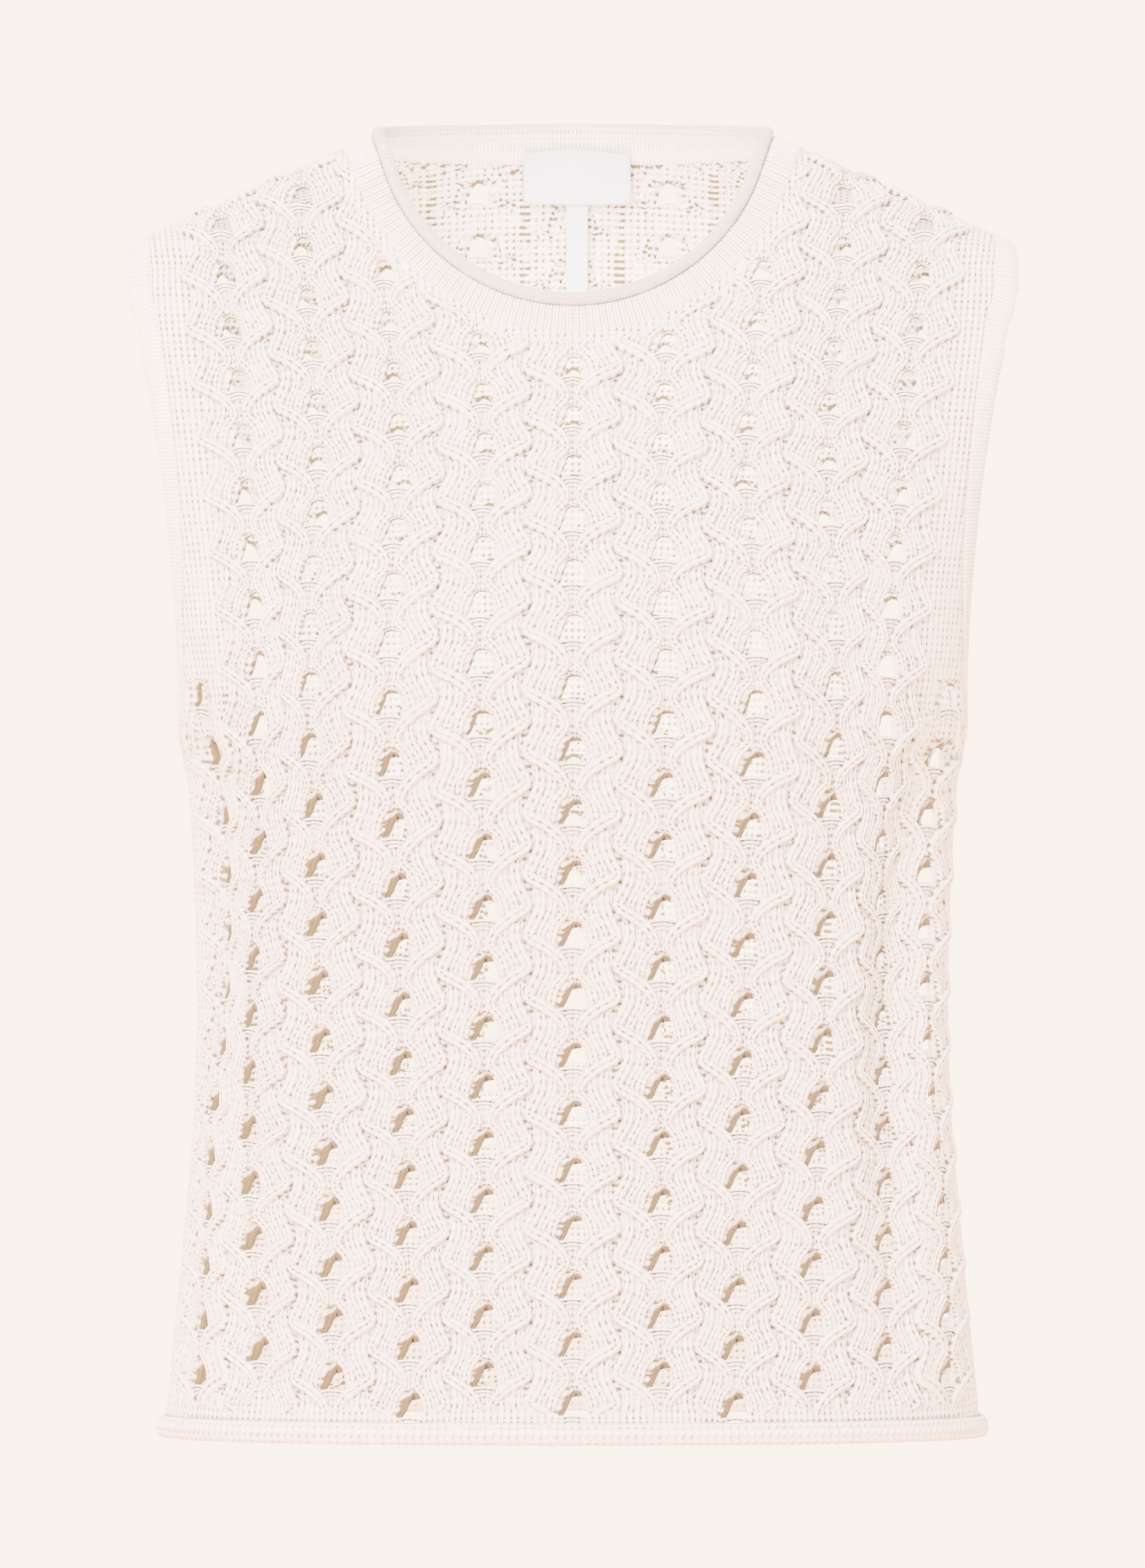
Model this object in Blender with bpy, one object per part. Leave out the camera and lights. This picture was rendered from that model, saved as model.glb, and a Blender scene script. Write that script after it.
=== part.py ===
"""Sleeveless openwork cable-knit vest, filled out as on a figure but empty.

Lengths in the tables and constants are millimetres; MM turns them into metres.
The frame: +X the wearer's left, -Y the front, +Z up, and the origin midway between
the shoulders, where a wearer holds the garment up. A drop is a distance below the
top of the neck.
"""
import math

import bmesh
import bpy
import numpy as np
from mathutils import Vector
from mathutils.geometry import delaunay_2d_cdt

MM = 0.001
ORIGIN_DROP = 30.0          # the origin lies this far below the top of the neck
FRONT = -1.0                # the side of the body that a panel covers, as a sign of Y
BACK = 1.0

# Cloth
WALL = 2.4                  # plain knit
SEAM_GAP = 0.3
RELIEF = {"crest": 5.2, "tail": 3.7, "seam": 2.0, "hole": 3.0}
CREST_BESIDE = 11.6         # from a hole's middle to the cable beside it
TAIL_BESIDE = 5.0           # and to where the two cables come close, above and below the hole

# Knit pattern: columns of holes, neighbours half a repeat apart
SEAM_COLUMN = 6.0           # the side seam lies this many columns from the middle
TOP_PITCH = 39.0            # width of a column at the chest and shoulders
NECK_SPREAD = 0.09          # columns beside the neck lie further apart by this share
CUT_COLUMNS = {FRONT: 4, BACK: 2}   # holes are cut through out to these columns
RAISED_COLUMNS = 5          # and the cables go on out to this one
HIGH_COLUMNS = 4            # the outermost column that reaches the shoulder
SHORT_COLUMN_DROP = 250.0   # further out, the cables start below this drop
HOLE_HALF_WIDTHS = (6.3, 3.4)   # at the foot and the top of a hole
HOLE_REACH = (5.6, 6.2)         # below and above its middle
HOLE_CLEARANCE = 7.5        # a hole keeps this far inside the panel's edge

# Shoulders and edges
RIDGE_START = (80.0, 4.8)   # distance from the middle and drop, at the neck
RIDGE_SLOPE = 0.449
NECK_HALF_WIDTH = 99.0
NECK_FRONT_DROP = 95.4
NECK_BACK_DROP = 13.0
HEM_DROP = 564.5
HEM_SIDE_DIP = 4.3          # the hem lies this much lower at the sides
ARMHOLE_DROP = (54.0, 276.0)
ARMHOLE_REACH = {FRONT: 48.0, BACK: 44.0}
ARMHOLE_ROUND = 0.42        # 0.5 is an oval, and less is flatter under the arm
ARMBAND_WIDTH = 9.0
NECKBAND_WIDTHS = {FRONT: 11.3, BACK: 12.2}
NECK_STAND = (3.2, -0.8)    # how far the band stands up behind, beside the middle and at it

# The figure that the cloth lies on, as sections seen from above
SECTION_COLUMNS = ("drop", "half_width", "front", "back", "fullness")
SECTIONS = (
    (-20.0, 191.0, 26.0, 46.0, 1.30),
    (0.0, 193.0, 30.0, 56.0, 1.30),
    (30.0, 195.0, 36.0, 69.0, 1.30),
    (62.0, 195.6, 46.0, 80.0, 1.30),
    (90.0, 188.6, 58.0, 87.5, 1.30),
    (126.0, 181.4, 77.0, 93.5, 1.30),
    (163.0, 175.6, 95.5, 96.0, 1.32),
    (200.0, 171.4, 109.0, 95.0, 1.45),
    (236.0, 169.2, 115.5, 91.5, 1.80),
    (276.0, 168.8, 114.0, 86.5, 2.25),
    (292.0, 166.6, 112.0, 84.5, 2.30),
    (327.0, 164.3, 107.5, 81.0, 2.30),
    (364.0, 162.9, 104.0, 79.5, 2.30),
    (400.0, 162.8, 102.5, 81.0, 2.30),
    (437.0, 164.2, 103.5, 85.0, 2.30),
    (474.0, 167.2, 106.0, 90.0, 2.30),
    (510.0, 170.5, 108.5, 94.5, 2.30),
    (547.0, 174.2, 111.0, 98.5, 2.30),
    (580.0, 177.4, 112.5, 101.0, 2.30),
)
BREADTH = 2.3               # exponent of the sections' flatness in front and behind

# Drops of the knitted rows, counted up from the hem in half repeats
ROW_COLUMNS = ("row", "front_middle", "back_middle", "side")
ROWS = (
    (-1.0, 568.0, 570.5, 571.0),
    (0.0, 555.6, 558.0, 558.8),
    (6.0, 481.0, 484.5, 487.5),
    (12.0, 407.0, 411.0, 416.0),
    (19.0, 315.5, 323.0, 329.0),
    (26.0, 224.3, 234.0, 239.6),
    (31.0, 166.5, 171.0, 177.5),
    (36.0, 111.5, 110.0, 117.0),
    (41.0, 56.0, 50.0, 58.0),
    (48.0, -22.0, -34.0, -26.0),
)
SIDE_COLUMN = 4.5           # the rows have their side drops from here outward

# How far the body draws the front's columns outward, by drop and column
PULL_COLUMNS = ("drop", "one", "two", "three", "four", "five", "seam")
PULLS = (
    (40.0, 1.0, 0.0, -5.2, -6.0, -6.0, 0.0),
    (85.0, 0.5, -1.5, -7.0, -10.0, -9.0, 0.0),
    (130.0, -1.2, -4.0, -8.2, -13.0, -12.0, 0.0),
    (165.0, -0.8, -3.0, -6.3, -12.5, -12.0, 0.0),
    (205.0, 0.5, 0.3, -2.0, -13.8, -13.0, 0.0),
    (250.0, 0.8, 1.2, -1.0, -16.0, -14.0, 0.0),
    (300.0, 1.0, 1.6, 0.5, -9.5, -15.0, 0.0),
    (355.0, 1.7, 1.9, 2.4, 0.5, -13.5, 0.0),
    (407.0, 1.7, 1.1, 1.5, 4.3, -12.0, 0.0),
    (456.0, 1.0, -2.0, -4.0, 0.8, -8.5, 0.0),
    (506.0, 0.0, -5.5, -9.2, -7.5, -10.5, 0.0),
    (556.0, -1.4, -8.5, -12.8, -16.6, -17.0, 0.0),
)

# Soft vertical folds: column and drop at both ends, depth inward, half width in columns
FOLD_COLUMNS = ("panel", "column_top", "column_foot", "drop_top", "drop_foot", "depth", "spread")
FOLDS = (
    (FRONT, 4.35, 3.75, 235.0, 560.0, 6.0, 0.42),
    (FRONT, 5.0, 4.7, 250.0, 555.0, -2.2, 0.45),
    (FRONT, -4.55, -4.9, 225.0, 430.0, 5.0, 0.45),
    (BACK, 3.9, 4.3, 240.0, 540.0, 5.0, 0.5),
    (BACK, -4.3, -3.9, 260.0, 555.0, 4.5, 0.5),
)

# Small flat pieces inside the back: half width, drops, clearance from the panel, thickness, grid
TAG_COLUMNS = ("name", "half_width", "top", "foot", "lift", "thickness", "rows", "columns")
TAGS = (
    ("neck_label", 24.4, 8.0, 33.0, 1.2, 0.8, 4, 7),
    ("care_ribbon", 4.9, 33.5, 92.0, 1.4, 0.6, 6, 2),
)

TOP_ROW = 46                # the rows that are tried end here, past the shoulder line
SAMPLES = 90
ARMHOLE_STATIONS = 21       # along half an armhole
ARMHOLE_CROWDING = 1.35     # closer together under the arm
NECK_STATIONS = 15          # along a quarter of the neck
TRIM = 0.35                 # step in millimetres for surface slopes


def table(columns, rows):
    return {name: np.array(values, float) for name, values in zip(columns, zip(*rows))}


SECTION = table(SECTION_COLUMNS, SECTIONS)
ROW = table(ROW_COLUMNS, ROWS)
PULL = table(PULL_COLUMNS, PULLS)


def smooth_interp(at, places, values):
    """Cubic through a table's points, with the slopes of their neighbours."""
    slopes = np.gradient(values, places)
    at = np.asarray(at, float)
    cell = np.clip(np.searchsorted(places, at) - 1, 0, len(places) - 2)
    width = places[cell + 1] - places[cell]
    t = np.clip((at - places[cell]) / width, -0.5, 1.5)
    start, end = values[cell], values[cell + 1]
    from_start = start + t * width * slopes[cell]
    cubic = (
        (2 * t**3 - 3 * t**2 + 1) * start
        + (t**3 - 2 * t**2 + t) * width * slopes[cell]
        + (3 * t**2 - 2 * t**3) * end
        + (t**3 - t**2) * width * slopes[cell + 1]
    )
    beyond = end + (t - 1) * width * slopes[cell + 1]
    return np.where(t < 0, from_start, np.where(t > 1, beyond, cubic))


def pick(at, places, values):
    """For each row of the tables, the value at one place, going on straight past the end."""
    cell = np.clip((places < at[:, None]).sum(1) - 1, 0, places.shape[1] - 2)
    rows = np.arange(len(at))
    start, end = places[rows, cell], places[rows, cell + 1]
    t = (at - start) / np.maximum(end - start, 1e-9)
    return values[rows, cell] * (1 - t) + values[rows, cell + 1] * t


def armhole_reach(drop, side):
    """How far in front of or behind the side the armhole's edge lies at this drop."""
    top, foot = ARMHOLE_DROP
    t = np.clip(np.abs((drop - (top + foot) / 2) / ((foot - top) / 2)), 0, 1)
    reach = ARMHOLE_REACH[side] * (1 - t**2.4) ** ARMHOLE_ROUND
    return np.where(drop > foot, 0.0, reach)


def section(drop, side):
    """Polylines across one half of the figure, from the middle to the side."""
    drop = np.asarray(drop, float)
    half_width = smooth_interp(drop, SECTION["drop"], SECTION["half_width"])
    depth = smooth_interp(drop, SECTION["drop"], SECTION["front" if side == FRONT else "back"])
    fullness = smooth_interp(drop, SECTION["drop"], SECTION["fullness"])
    edge = armhole_reach(drop, side)
    turn = np.linspace(0, math.pi / 2, SAMPLES)
    x = half_width[:, None] * np.sin(turn) ** (2 / BREADTH)
    y = edge[:, None] + (depth - edge)[:, None] * np.cos(turn) ** (2 / fullness[:, None])
    steps = np.hypot(np.diff(x, axis=1), np.diff(y, axis=1))
    along = np.concatenate([np.zeros((len(drop), 1)), np.cumsum(steps, axis=1)], axis=1)
    return x, y, along


def section_length(drop, side):
    return section(np.atleast_1d(drop), side)[2][:, -1]


def fold_height(x, side):
    """How far below the shoulder line the cloth starts to turn over it."""
    if side == FRONT:
        return np.full_like(x, 20.0)
    return np.clip(45.0 - (x - 80.0) * 0.25, 20.0, 50.0)


def ridge_drop(x):
    return RIDGE_START[1] + RIDGE_SLOPE * (x - RIDGE_START[0])


def turn_over(x, reach, height):
    """Points and lengths along the quarter turn up to the shoulder line, and a little past."""
    turn = np.linspace(0, math.radians(110), SAMPLES)
    y = reach[:, None] * np.cos(turn)
    rise = height[:, None] * np.sin(turn)
    steps = np.hypot(np.diff(y, axis=1), np.diff(rise, axis=1))
    along = np.concatenate([np.zeros((len(x), 1)), np.cumsum(steps, axis=1)], axis=1)
    quarter = pick(np.full(len(x), math.pi / 2), np.tile(turn, (len(x), 1)), along)
    return y, rise, along, quarter


def across_at(s, drop, side):
    """X and depth on a section, a length s from its middle."""
    x, y, along = section(drop, side)
    return pick(s, along, x), pick(s, along, y)


def surface(s, b, side):
    """Inner face of the cloth: s runs across from the middle, b down over the shoulder."""
    s = np.asarray(s, float)
    b = np.asarray(b, float)
    sign = np.where(s < 0, -1.0, 1.0)
    s = np.abs(s)
    x = s
    for _ in range(4):
        start = ridge_drop(x) + fold_height(x, side)
        x, reach = across_at(s, np.maximum(b, start), side)
    height = fold_height(x, side)
    y_turn, rise, along, _ = turn_over(x, reach, height)
    past = np.maximum(start - b, 0)
    y = np.where(past > 0, pick(past, along, y_turn), reach)
    drop = np.where(past > 0, start - pick(past, along, rise), b)
    return np.stack([sign * x, side * y, ORIGIN_DROP - drop], axis=1)


def ridge_b(s, side):
    """The coordinate b of the shoulder line."""
    s = np.abs(np.atleast_1d(np.asarray(s, float)))
    x = s
    for _ in range(4):
        start = ridge_drop(x) + fold_height(x, side)
        x, reach = across_at(s, start, side)
    return start - turn_over(x, reach, fold_height(x, side))[3]


def formed(s, b, n, side):
    """Points n outside the inner face, in metres."""
    s = np.asarray(s, float)
    b = np.asarray(b, float)
    here = surface(s, b, side)
    along = surface(s + TRIM, b, side) - surface(s - TRIM, b, side)
    down = surface(s, b + TRIM, side) - surface(s, b - TRIM, side)
    normal = np.cross(along, down) * side
    normal /= np.linalg.norm(normal, axis=1)[:, None]
    return (here + normal * np.asarray(n, float)[:, None]) * MM


def pull(a, b):
    """How much further out than evenly spaced a column of the front lies."""
    size = np.abs(a)
    total = np.zeros_like(size + b)
    for column, name in enumerate(PULL_COLUMNS[1:], start=1):
        share = np.clip(1 - np.abs(size - column), 0, 1)
        total += share * smooth_interp(b, PULL["drop"], PULL[name])
    return np.sign(a) * total


def even_place(a, b, side):
    """Length across from the middle to column a, were the columns drawn evenly."""
    b = np.asarray(b, float)
    size = np.abs(a)
    low = section_length(np.maximum(b, ARMHOLE_DROP[1]), side) / SEAM_COLUMN
    rise = np.clip((ARMHOLE_DROP[1] - b) / (ARMHOLE_DROP[1] - 100.0), 0, 1)
    rise = rise * rise * (3 - 2 * rise)
    pitch = low + (TOP_PITCH - low) * rise
    spread = NECK_SPREAD * np.clip((160.0 - b) / 100.0, 0, 1) * (1 - (size / 5) ** 2)
    return a * pitch * (1 + np.maximum(spread, 0))


def column_place(a, b, side):
    """Length across from the middle to column a."""
    evenly = even_place(a, b, side)
    return evenly + pull(np.asarray(a, float), np.asarray(b, float)) if side == FRONT else evenly


def row_drop(a, j, side):
    middle = ROW["front_middle" if side == FRONT else "back_middle"]
    t = np.clip(np.abs(a) / SIDE_COLUMN, 0, 1)
    t = t * t * (3 - 2 * t)
    drop_middle = smooth_interp(j, ROW["row"], middle)
    drop_side = smooth_interp(j, ROW["row"], ROW["side"])
    return drop_middle * (1 - t) + drop_side * t


def laid(a, j, side):
    """Pattern coordinates (column, row) to cloth coordinates (s, b)."""
    a = np.asarray(a, float)
    b = row_drop(a, np.asarray(j, float), side)
    return column_place(a, b, side), b


def spot(a, j, side):
    """Cloth coordinates of one point of the pattern."""
    s, b = laid([float(a)], [float(j)], side)
    return float(s[0]), float(b[0])


def hem_drop(a):
    """Drop of the panels' lower edge at column a."""
    return HEM_DROP + HEM_SIDE_DIP * (np.abs(a) / SEAM_COLUMN) ** 2.5


def fold_depth(s, b, side):
    """Height of the soft folds, outward."""
    s = np.asarray(s, float)
    a = s / even_place(np.ones_like(s), b, side)
    total = np.zeros_like(s)
    for panel, top_a, foot_a, top, foot, depth, spread in FOLDS:
        if panel != side:
            continue
        t = np.clip((b - top) / (foot - top), 0, 1)
        middle = top_a + (foot_a - top_a) * t
        total -= depth * np.sin(math.pi * t) ** 0.8 * np.exp(-(((a - middle) / spread) ** 2))
    return total * np.clip((SEAM_COLUMN - np.abs(a)) / 0.5, 0, 1)


# Edge curves, in cloth coordinates


def spaced(points, count, crowding=1.0):
    """Resample a polyline at even lengths, or crowded towards its end."""
    steps = np.linalg.norm(np.diff(points, axis=0), axis=1)
    along = np.concatenate([[0], np.cumsum(steps)])
    at = along[-1] * (1 - np.linspace(1, 0, count) ** crowding)
    return np.stack([np.interp(at, along, points[:, i]) for i in (0, 1)], axis=1)


def square_to(points, hand, start, end):
    """Unit vectors square to a curve, on one hand of it, given exactly at both ends."""
    slope = np.gradient(points, axis=0)
    normal = hand * np.stack([slope[:, 1], -slope[:, 0]], axis=1)
    normal /= np.linalg.norm(normal, axis=1)[:, None]
    normal[0], normal[-1] = start, end
    return normal


def armhole_curve(side, count):
    """The armhole's free edge, from the shoulder line down to the side seam."""
    top, foot = ARMHOLE_DROP
    tip = section_length(top + 20.0, side)[0]
    x_tip = across_at(np.array([tip]), np.array([top + 20.0]), side)[0]
    start = (ridge_drop(x_tip) + fold_height(x_tip, side))[0]
    high = np.linspace(ridge_b(tip, side)[0], start, 30)
    swing = np.linspace(0, 1, 160)[1:] ** 0.5
    low = start + (foot - start) * swing
    curve = np.concatenate(
        [
            np.stack([np.full_like(high, tip), high], axis=1),
            np.stack([section_length(low, side), low], axis=1),
        ]
    )
    points = spaced(curve, count, ARMHOLE_CROWDING)
    return points, square_to(points, -1.0, (-1.0, 0.0), (0.0, 1.0))


def neck_curve(side, count):
    """Where the neckband meets the panel, from the middle to the shoulder line."""
    level = np.array([ridge_drop(NECK_HALF_WIDTH)]) + fold_height(np.array([NECK_HALF_WIDTH]), side)
    x, _, along = section(level, side)
    end = pick(np.array([NECK_HALF_WIDTH]), x, along)[0]
    ridge = ridge_b(end, side)[0]
    drop = NECK_FRONT_DROP if side == FRONT else NECK_BACK_DROP
    power = 2.0 if side == FRONT else 2.6
    turn = np.linspace(0, math.pi / 2, 200)
    curve = np.stack(
        [
            end * np.sin(turn) ** (2 / power),
            ridge + (drop - ridge) * np.cos(turn) ** (2 / power),
        ],
        axis=1,
    )
    points = spaced(curve, count)
    return points, square_to(points, 1.0, (0.0, -1.0), (-1.0, 0.0))


def ridge_place(x, side):
    """Length across to the shoulder line's point at x."""
    xs, _, along = section(ridge_drop(x) + fold_height(x, side), side)
    return pick(x, xs, along)


def strip(points, normal, distance, side, near_ridge, near_seam):
    """Points at a distance across a band, along the shoulder line or side seam beside them."""
    moved = points + normal * np.asarray(distance, float)[:, None]
    x = surface(points[:, 0], points[:, 1], side)[:, 0] + normal[:, 0] * distance
    moved[:, 0] += (ridge_place(x, side) - moved[:, 0]) * near_ridge
    lift = ridge_b(moved[:, 0], side) - ridge_b(points[:, 0], side)
    moved[:, 1] += lift * near_ridge
    shift = section_length(moved[:, 1], side) - section_length(points[:, 1], side)
    moved[:, 0] += shift * near_seam
    return moved


def near_end(count, first):
    """Weights from 1 at the shoulder line to 0 far from it."""
    t = np.linspace(0, 1, count)
    t = t if first else 1 - t
    return np.clip(1 - 2.5 * t, 0, 1) ** 2


def armhole_ends():
    return near_end(ARMHOLE_STATIONS, True), near_end(ARMHOLE_STATIONS, False)


def neck_ends():
    return near_end(NECK_STATIONS, False), np.zeros(NECK_STATIONS)


def outline(side):
    """Closed outline of a panel in cloth coordinates, counterclockwise in (s, b)."""
    gap = SEAM_GAP / 2
    columns = np.arange(0, SEAM_COLUMN, 0.5)
    hem_b = hem_drop(columns)
    hem = np.stack([column_place(columns, hem_b, side), hem_b], axis=1)
    seam_top = ARMHOLE_DROP[1] + ARMBAND_WIDTH + SEAM_GAP
    seam_b = np.linspace(HEM_DROP + HEM_SIDE_DIP, seam_top, 12)
    seam = np.stack([section_length(seam_b, side) - gap, seam_b], axis=1)
    arm, normal = armhole_curve(side, ARMHOLE_STATIONS)
    cut = np.full(ARMHOLE_STATIONS, ARMBAND_WIDTH + SEAM_GAP)
    arm = strip(arm, normal, cut, side, *armhole_ends())
    arm[0, 1] += gap
    arm = arm[-2::-1]
    neck, _ = neck_curve(side, NECK_STATIONS)
    neck[-1, 1] += gap
    shoulder_s = np.linspace(arm[-1, 0], neck[-1, 0], 7)[1:-1]
    shoulder = np.stack([shoulder_s, ridge_b(shoulder_s, side) + gap], axis=1)
    half = np.concatenate([hem[1:], seam, arm, shoulder, neck[::-1][:-1]])
    mirror = half[::-1] * np.array([-1.0, 1.0])
    return np.concatenate([hem[:1], half, neck[:1], mirror])


def inside(point, polygon):
    """Whether a point lies in a polygon, and its distance from the edge."""
    nxt = np.roll(polygon, -1, axis=0)
    edge = nxt - polygon
    to = point - polygon
    t = np.clip((to * edge).sum(1) / (edge * edge).sum(1), 0, 1)
    distance = np.linalg.norm(to - edge * t[:, None], axis=1).min()
    above = (polygon[:, 1] > point[1]) != (nxt[:, 1] > point[1])
    height = np.where(edge[:, 1] == 0, 1e-9, edge[:, 1])
    crossing = polygon[:, 0] + (point[1] - polygon[:, 1]) * edge[:, 0] / height
    odd = np.count_nonzero(above & (point[0] < crossing)) % 2 == 1
    return odd, distance


class Sheet:
    """Points, heights and tied edges of a panel's two faces."""

    def __init__(self, side):
        self.side = side
        self.points, self.outer, self.loops, self.ties = [], [], [], []
        self.inner_only, self.outer_only = set(), set()
        edge = outline(side)
        self.edge = edge
        self.loops.append(self.add_all(edge, WALL))

    def add(self, s, b, height):
        self.points.append((float(s), float(b)))
        self.outer.append(height)
        return len(self.points) - 1

    def add_all(self, points, height):
        return [self.add(s, b, height) for s, b in points]

    def clear(self, s, b, margin):
        odd, distance = inside(np.array([s, b]), self.edge)
        return odd and distance > margin

    def relief_point(self, a, j, beside, height, margin=4.0):
        s, b = spot(a, j, self.side)
        s += beside
        if not self.clear(s, b, margin):
            return None
        index = self.add(s, b, height)
        self.outer_only.add(index)
        return index


def has_hole(k, j, side):
    if (k + j) % 2:
        return False
    return abs(k) <= HIGH_COLUMNS or spot(k, j, side)[1] > SHORT_COLUMN_DROP


def panel_sheet(side):
    sheet = Sheet(side)
    crest, tail, seam, hole = (RELIEF[name] for name in ("crest", "tail", "seam", "hole"))
    for k in range(-RAISED_COLUMNS, RAISED_COLUMNS + 1):
        hand = {}
        for j in range(TOP_ROW):
            s, b = spot(k, j, side)
            if not sheet.clear(s, b, 2.0):
                continue
            if abs(k) > HIGH_COLUMNS and b < SHORT_COLUMN_DROP:
                continue
            if has_hole(k, j, side):
                if abs(k) <= CUT_COLUMNS[side] and sheet.clear(s, b, HOLE_CLEARANCE):
                    foot, top = HOLE_HALF_WIDTHS
                    below, above = HOLE_REACH
                    corners = [(s - foot, b + below), (s + foot, b + below)]
                    corners += [(s + top, b - above), (s - top, b - above)]
                    sheet.loops.append(sheet.add_all(corners, hole))
                elif sheet.clear(s, b, 6.0):
                    index = sheet.add(s, b, seam)
                    sheet.outer_only.add(index)
                for lean in (-1, 1):
                    hand[lean, j] = sheet.relief_point(k, j, lean * CREST_BESIDE, crest)
            else:
                for lean in (-1, 1):
                    hand[lean, j] = sheet.relief_point(k, j, lean * TAIL_BESIDE, tail)
        for (lean, j), index in hand.items():
            above = hand.get((lean, j + 1))
            if index is not None and above is not None:
                middle = (np.array(sheet.points[index]) + np.array(sheet.points[above])) / 2
                if sheet.clear(*middle, 2.5):
                    sheet.ties.append((index, above))
    for half in range(-RAISED_COLUMNS - 1, RAISED_COLUMNS + 1):
        place = half + 0.5
        for j in range(TOP_ROW):
            swing = 0.1 if (half + j) % 2 else -0.1
            index = sheet.relief_point(place + swing, j, 0.0, seam)
            if index is not None and j % (2 if j > 34 else 4) == 0:
                sheet.outer_only.discard(index)
    return sheet


def skin(sheet, keep):
    """Triangles over the points kept, open at the holes."""
    used = [i for i in range(len(sheet.points)) if keep(i)]
    local = {index: n for n, index in enumerate(used)}
    points = [Vector(sheet.points[i]) for i in used]
    edges = []
    for loop in sheet.loops:
        edges += [(local[i], local[loop[n - 1]]) for n, i in enumerate(loop)]
    edges += [(local[i], local[j]) for i, j in sheet.ties if i in local and j in local]
    result = delaunay_2d_cdt(points, edges, [], 1, 1e-4)
    verts, _, faces, origin = result[0], result[1], result[2], result[3]
    back = []
    for sources in origin:
        if not sources:
            raise RuntimeError("tied edges cross")
        back.append(used[sources[0]])
    hole_of = {i: n for n, loop in enumerate(sheet.loops[1:]) for i in loop}
    triangles = []
    for face in faces:
        corners = [back[v] for v in face]
        holes = {hole_of.get(i) for i in corners}
        if len(holes) == 1 and None not in holes:
            continue
        middle = np.mean([sheet.points[i] for i in corners], axis=0)
        if inside(middle, sheet.edge)[0]:
            triangles.append(corners)
    return triangles


def build_panel(name, side):
    sheet = panel_sheet(side)
    points = np.array(sheet.points)
    folds = fold_depth(points[:, 0], points[:, 1], side)
    outer = formed(points[:, 0], points[:, 1], np.array(sheet.outer) + folds, side)
    inner = formed(points[:, 0], points[:, 1], folds, side)
    mesh = bmesh.new()
    outer_vert, inner_vert = {}, {}

    def vert(store, places, index):
        if index not in store:
            store[index] = mesh.verts.new(places[index])
        return store[index]

    for corners in skin(sheet, lambda i: True):
        mesh.faces.new([vert(outer_vert, outer, i) for i in corners])
    for corners in skin(sheet, lambda i: i not in sheet.outer_only):
        mesh.faces.new([vert(inner_vert, inner, i) for i in reversed(corners)])
    for loop in sheet.loops:
        for n, i in enumerate(loop):
            j = loop[n - 1]
            corners = (outer_vert[i], outer_vert[j], inner_vert[j], inner_vert[i])
            mesh.faces.new(corners)
    bmesh.ops.triangulate(mesh, faces=mesh.faces[:])
    return finish(name, mesh)


def finish(name, mesh):
    bmesh.ops.recalc_face_normals(mesh, faces=mesh.faces[:])
    if mesh.calc_volume(signed=True) < 0:
        bmesh.ops.reverse_faces(mesh, faces=mesh.faces[:])
    data = bpy.data.meshes.new(name)
    mesh.to_mesh(data)
    mesh.free()
    piece = bpy.data.objects.new(name, data)
    garment.objects.link(piece)
    data.materials.append(MATERIALS[name])
    data.shade_smooth()
    data.set_sharp_from_angle(angle=math.radians(40))
    return piece


def ring(name, stations):
    """Closed band through rings of points, one ring a station."""
    mesh = bmesh.new()
    rings = [[mesh.verts.new(point) for point in station] for station in stations]
    for n, here in enumerate(rings):
        back = rings[n - 1]
        for i, point in enumerate(here):
            mesh.faces.new((back[i - 1], back[i], point, here[i - 1]))
    bmesh.ops.triangulate(mesh, faces=mesh.faces[:])
    return finish(name, mesh)


def band_stations(points, normal, ends, side, profile, mirror, stand=0.0):
    """Profile points (across, out) set at every station of a half ring."""
    sets = []
    for across, out in profile:
        across = np.full(len(points), across) if np.isscalar(across) else across
        moved = strip(points, normal, across, side, *ends)
        placed = formed(moved[:, 0], moved[:, 1], np.full(len(points), out), side)
        placed[:, 0] *= mirror
        placed[:, 2] += stand * np.clip(across / NECKBAND_WIDTHS[BACK], 0, 1) ** 2 * MM
        sets.append(placed)
    return [[Vector(s[n]) for s in sets] for n in range(len(points))]


def build_armband(name, mirror):
    profile = ((-0.6, 1.8), (1.2, 3.5), (5.0, 3.5), (9.0, 2.8), (9.0, 0.0), (1.0, 0.0))
    count = ARMHOLE_STATIONS
    half = {}
    for side in (FRONT, BACK):
        points, normal = armhole_curve(side, count)
        half[side] = band_stations(points, normal, armhole_ends(), side, profile, mirror)
    return ring(name, half[FRONT] + half[BACK][-2:0:-1])


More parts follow.
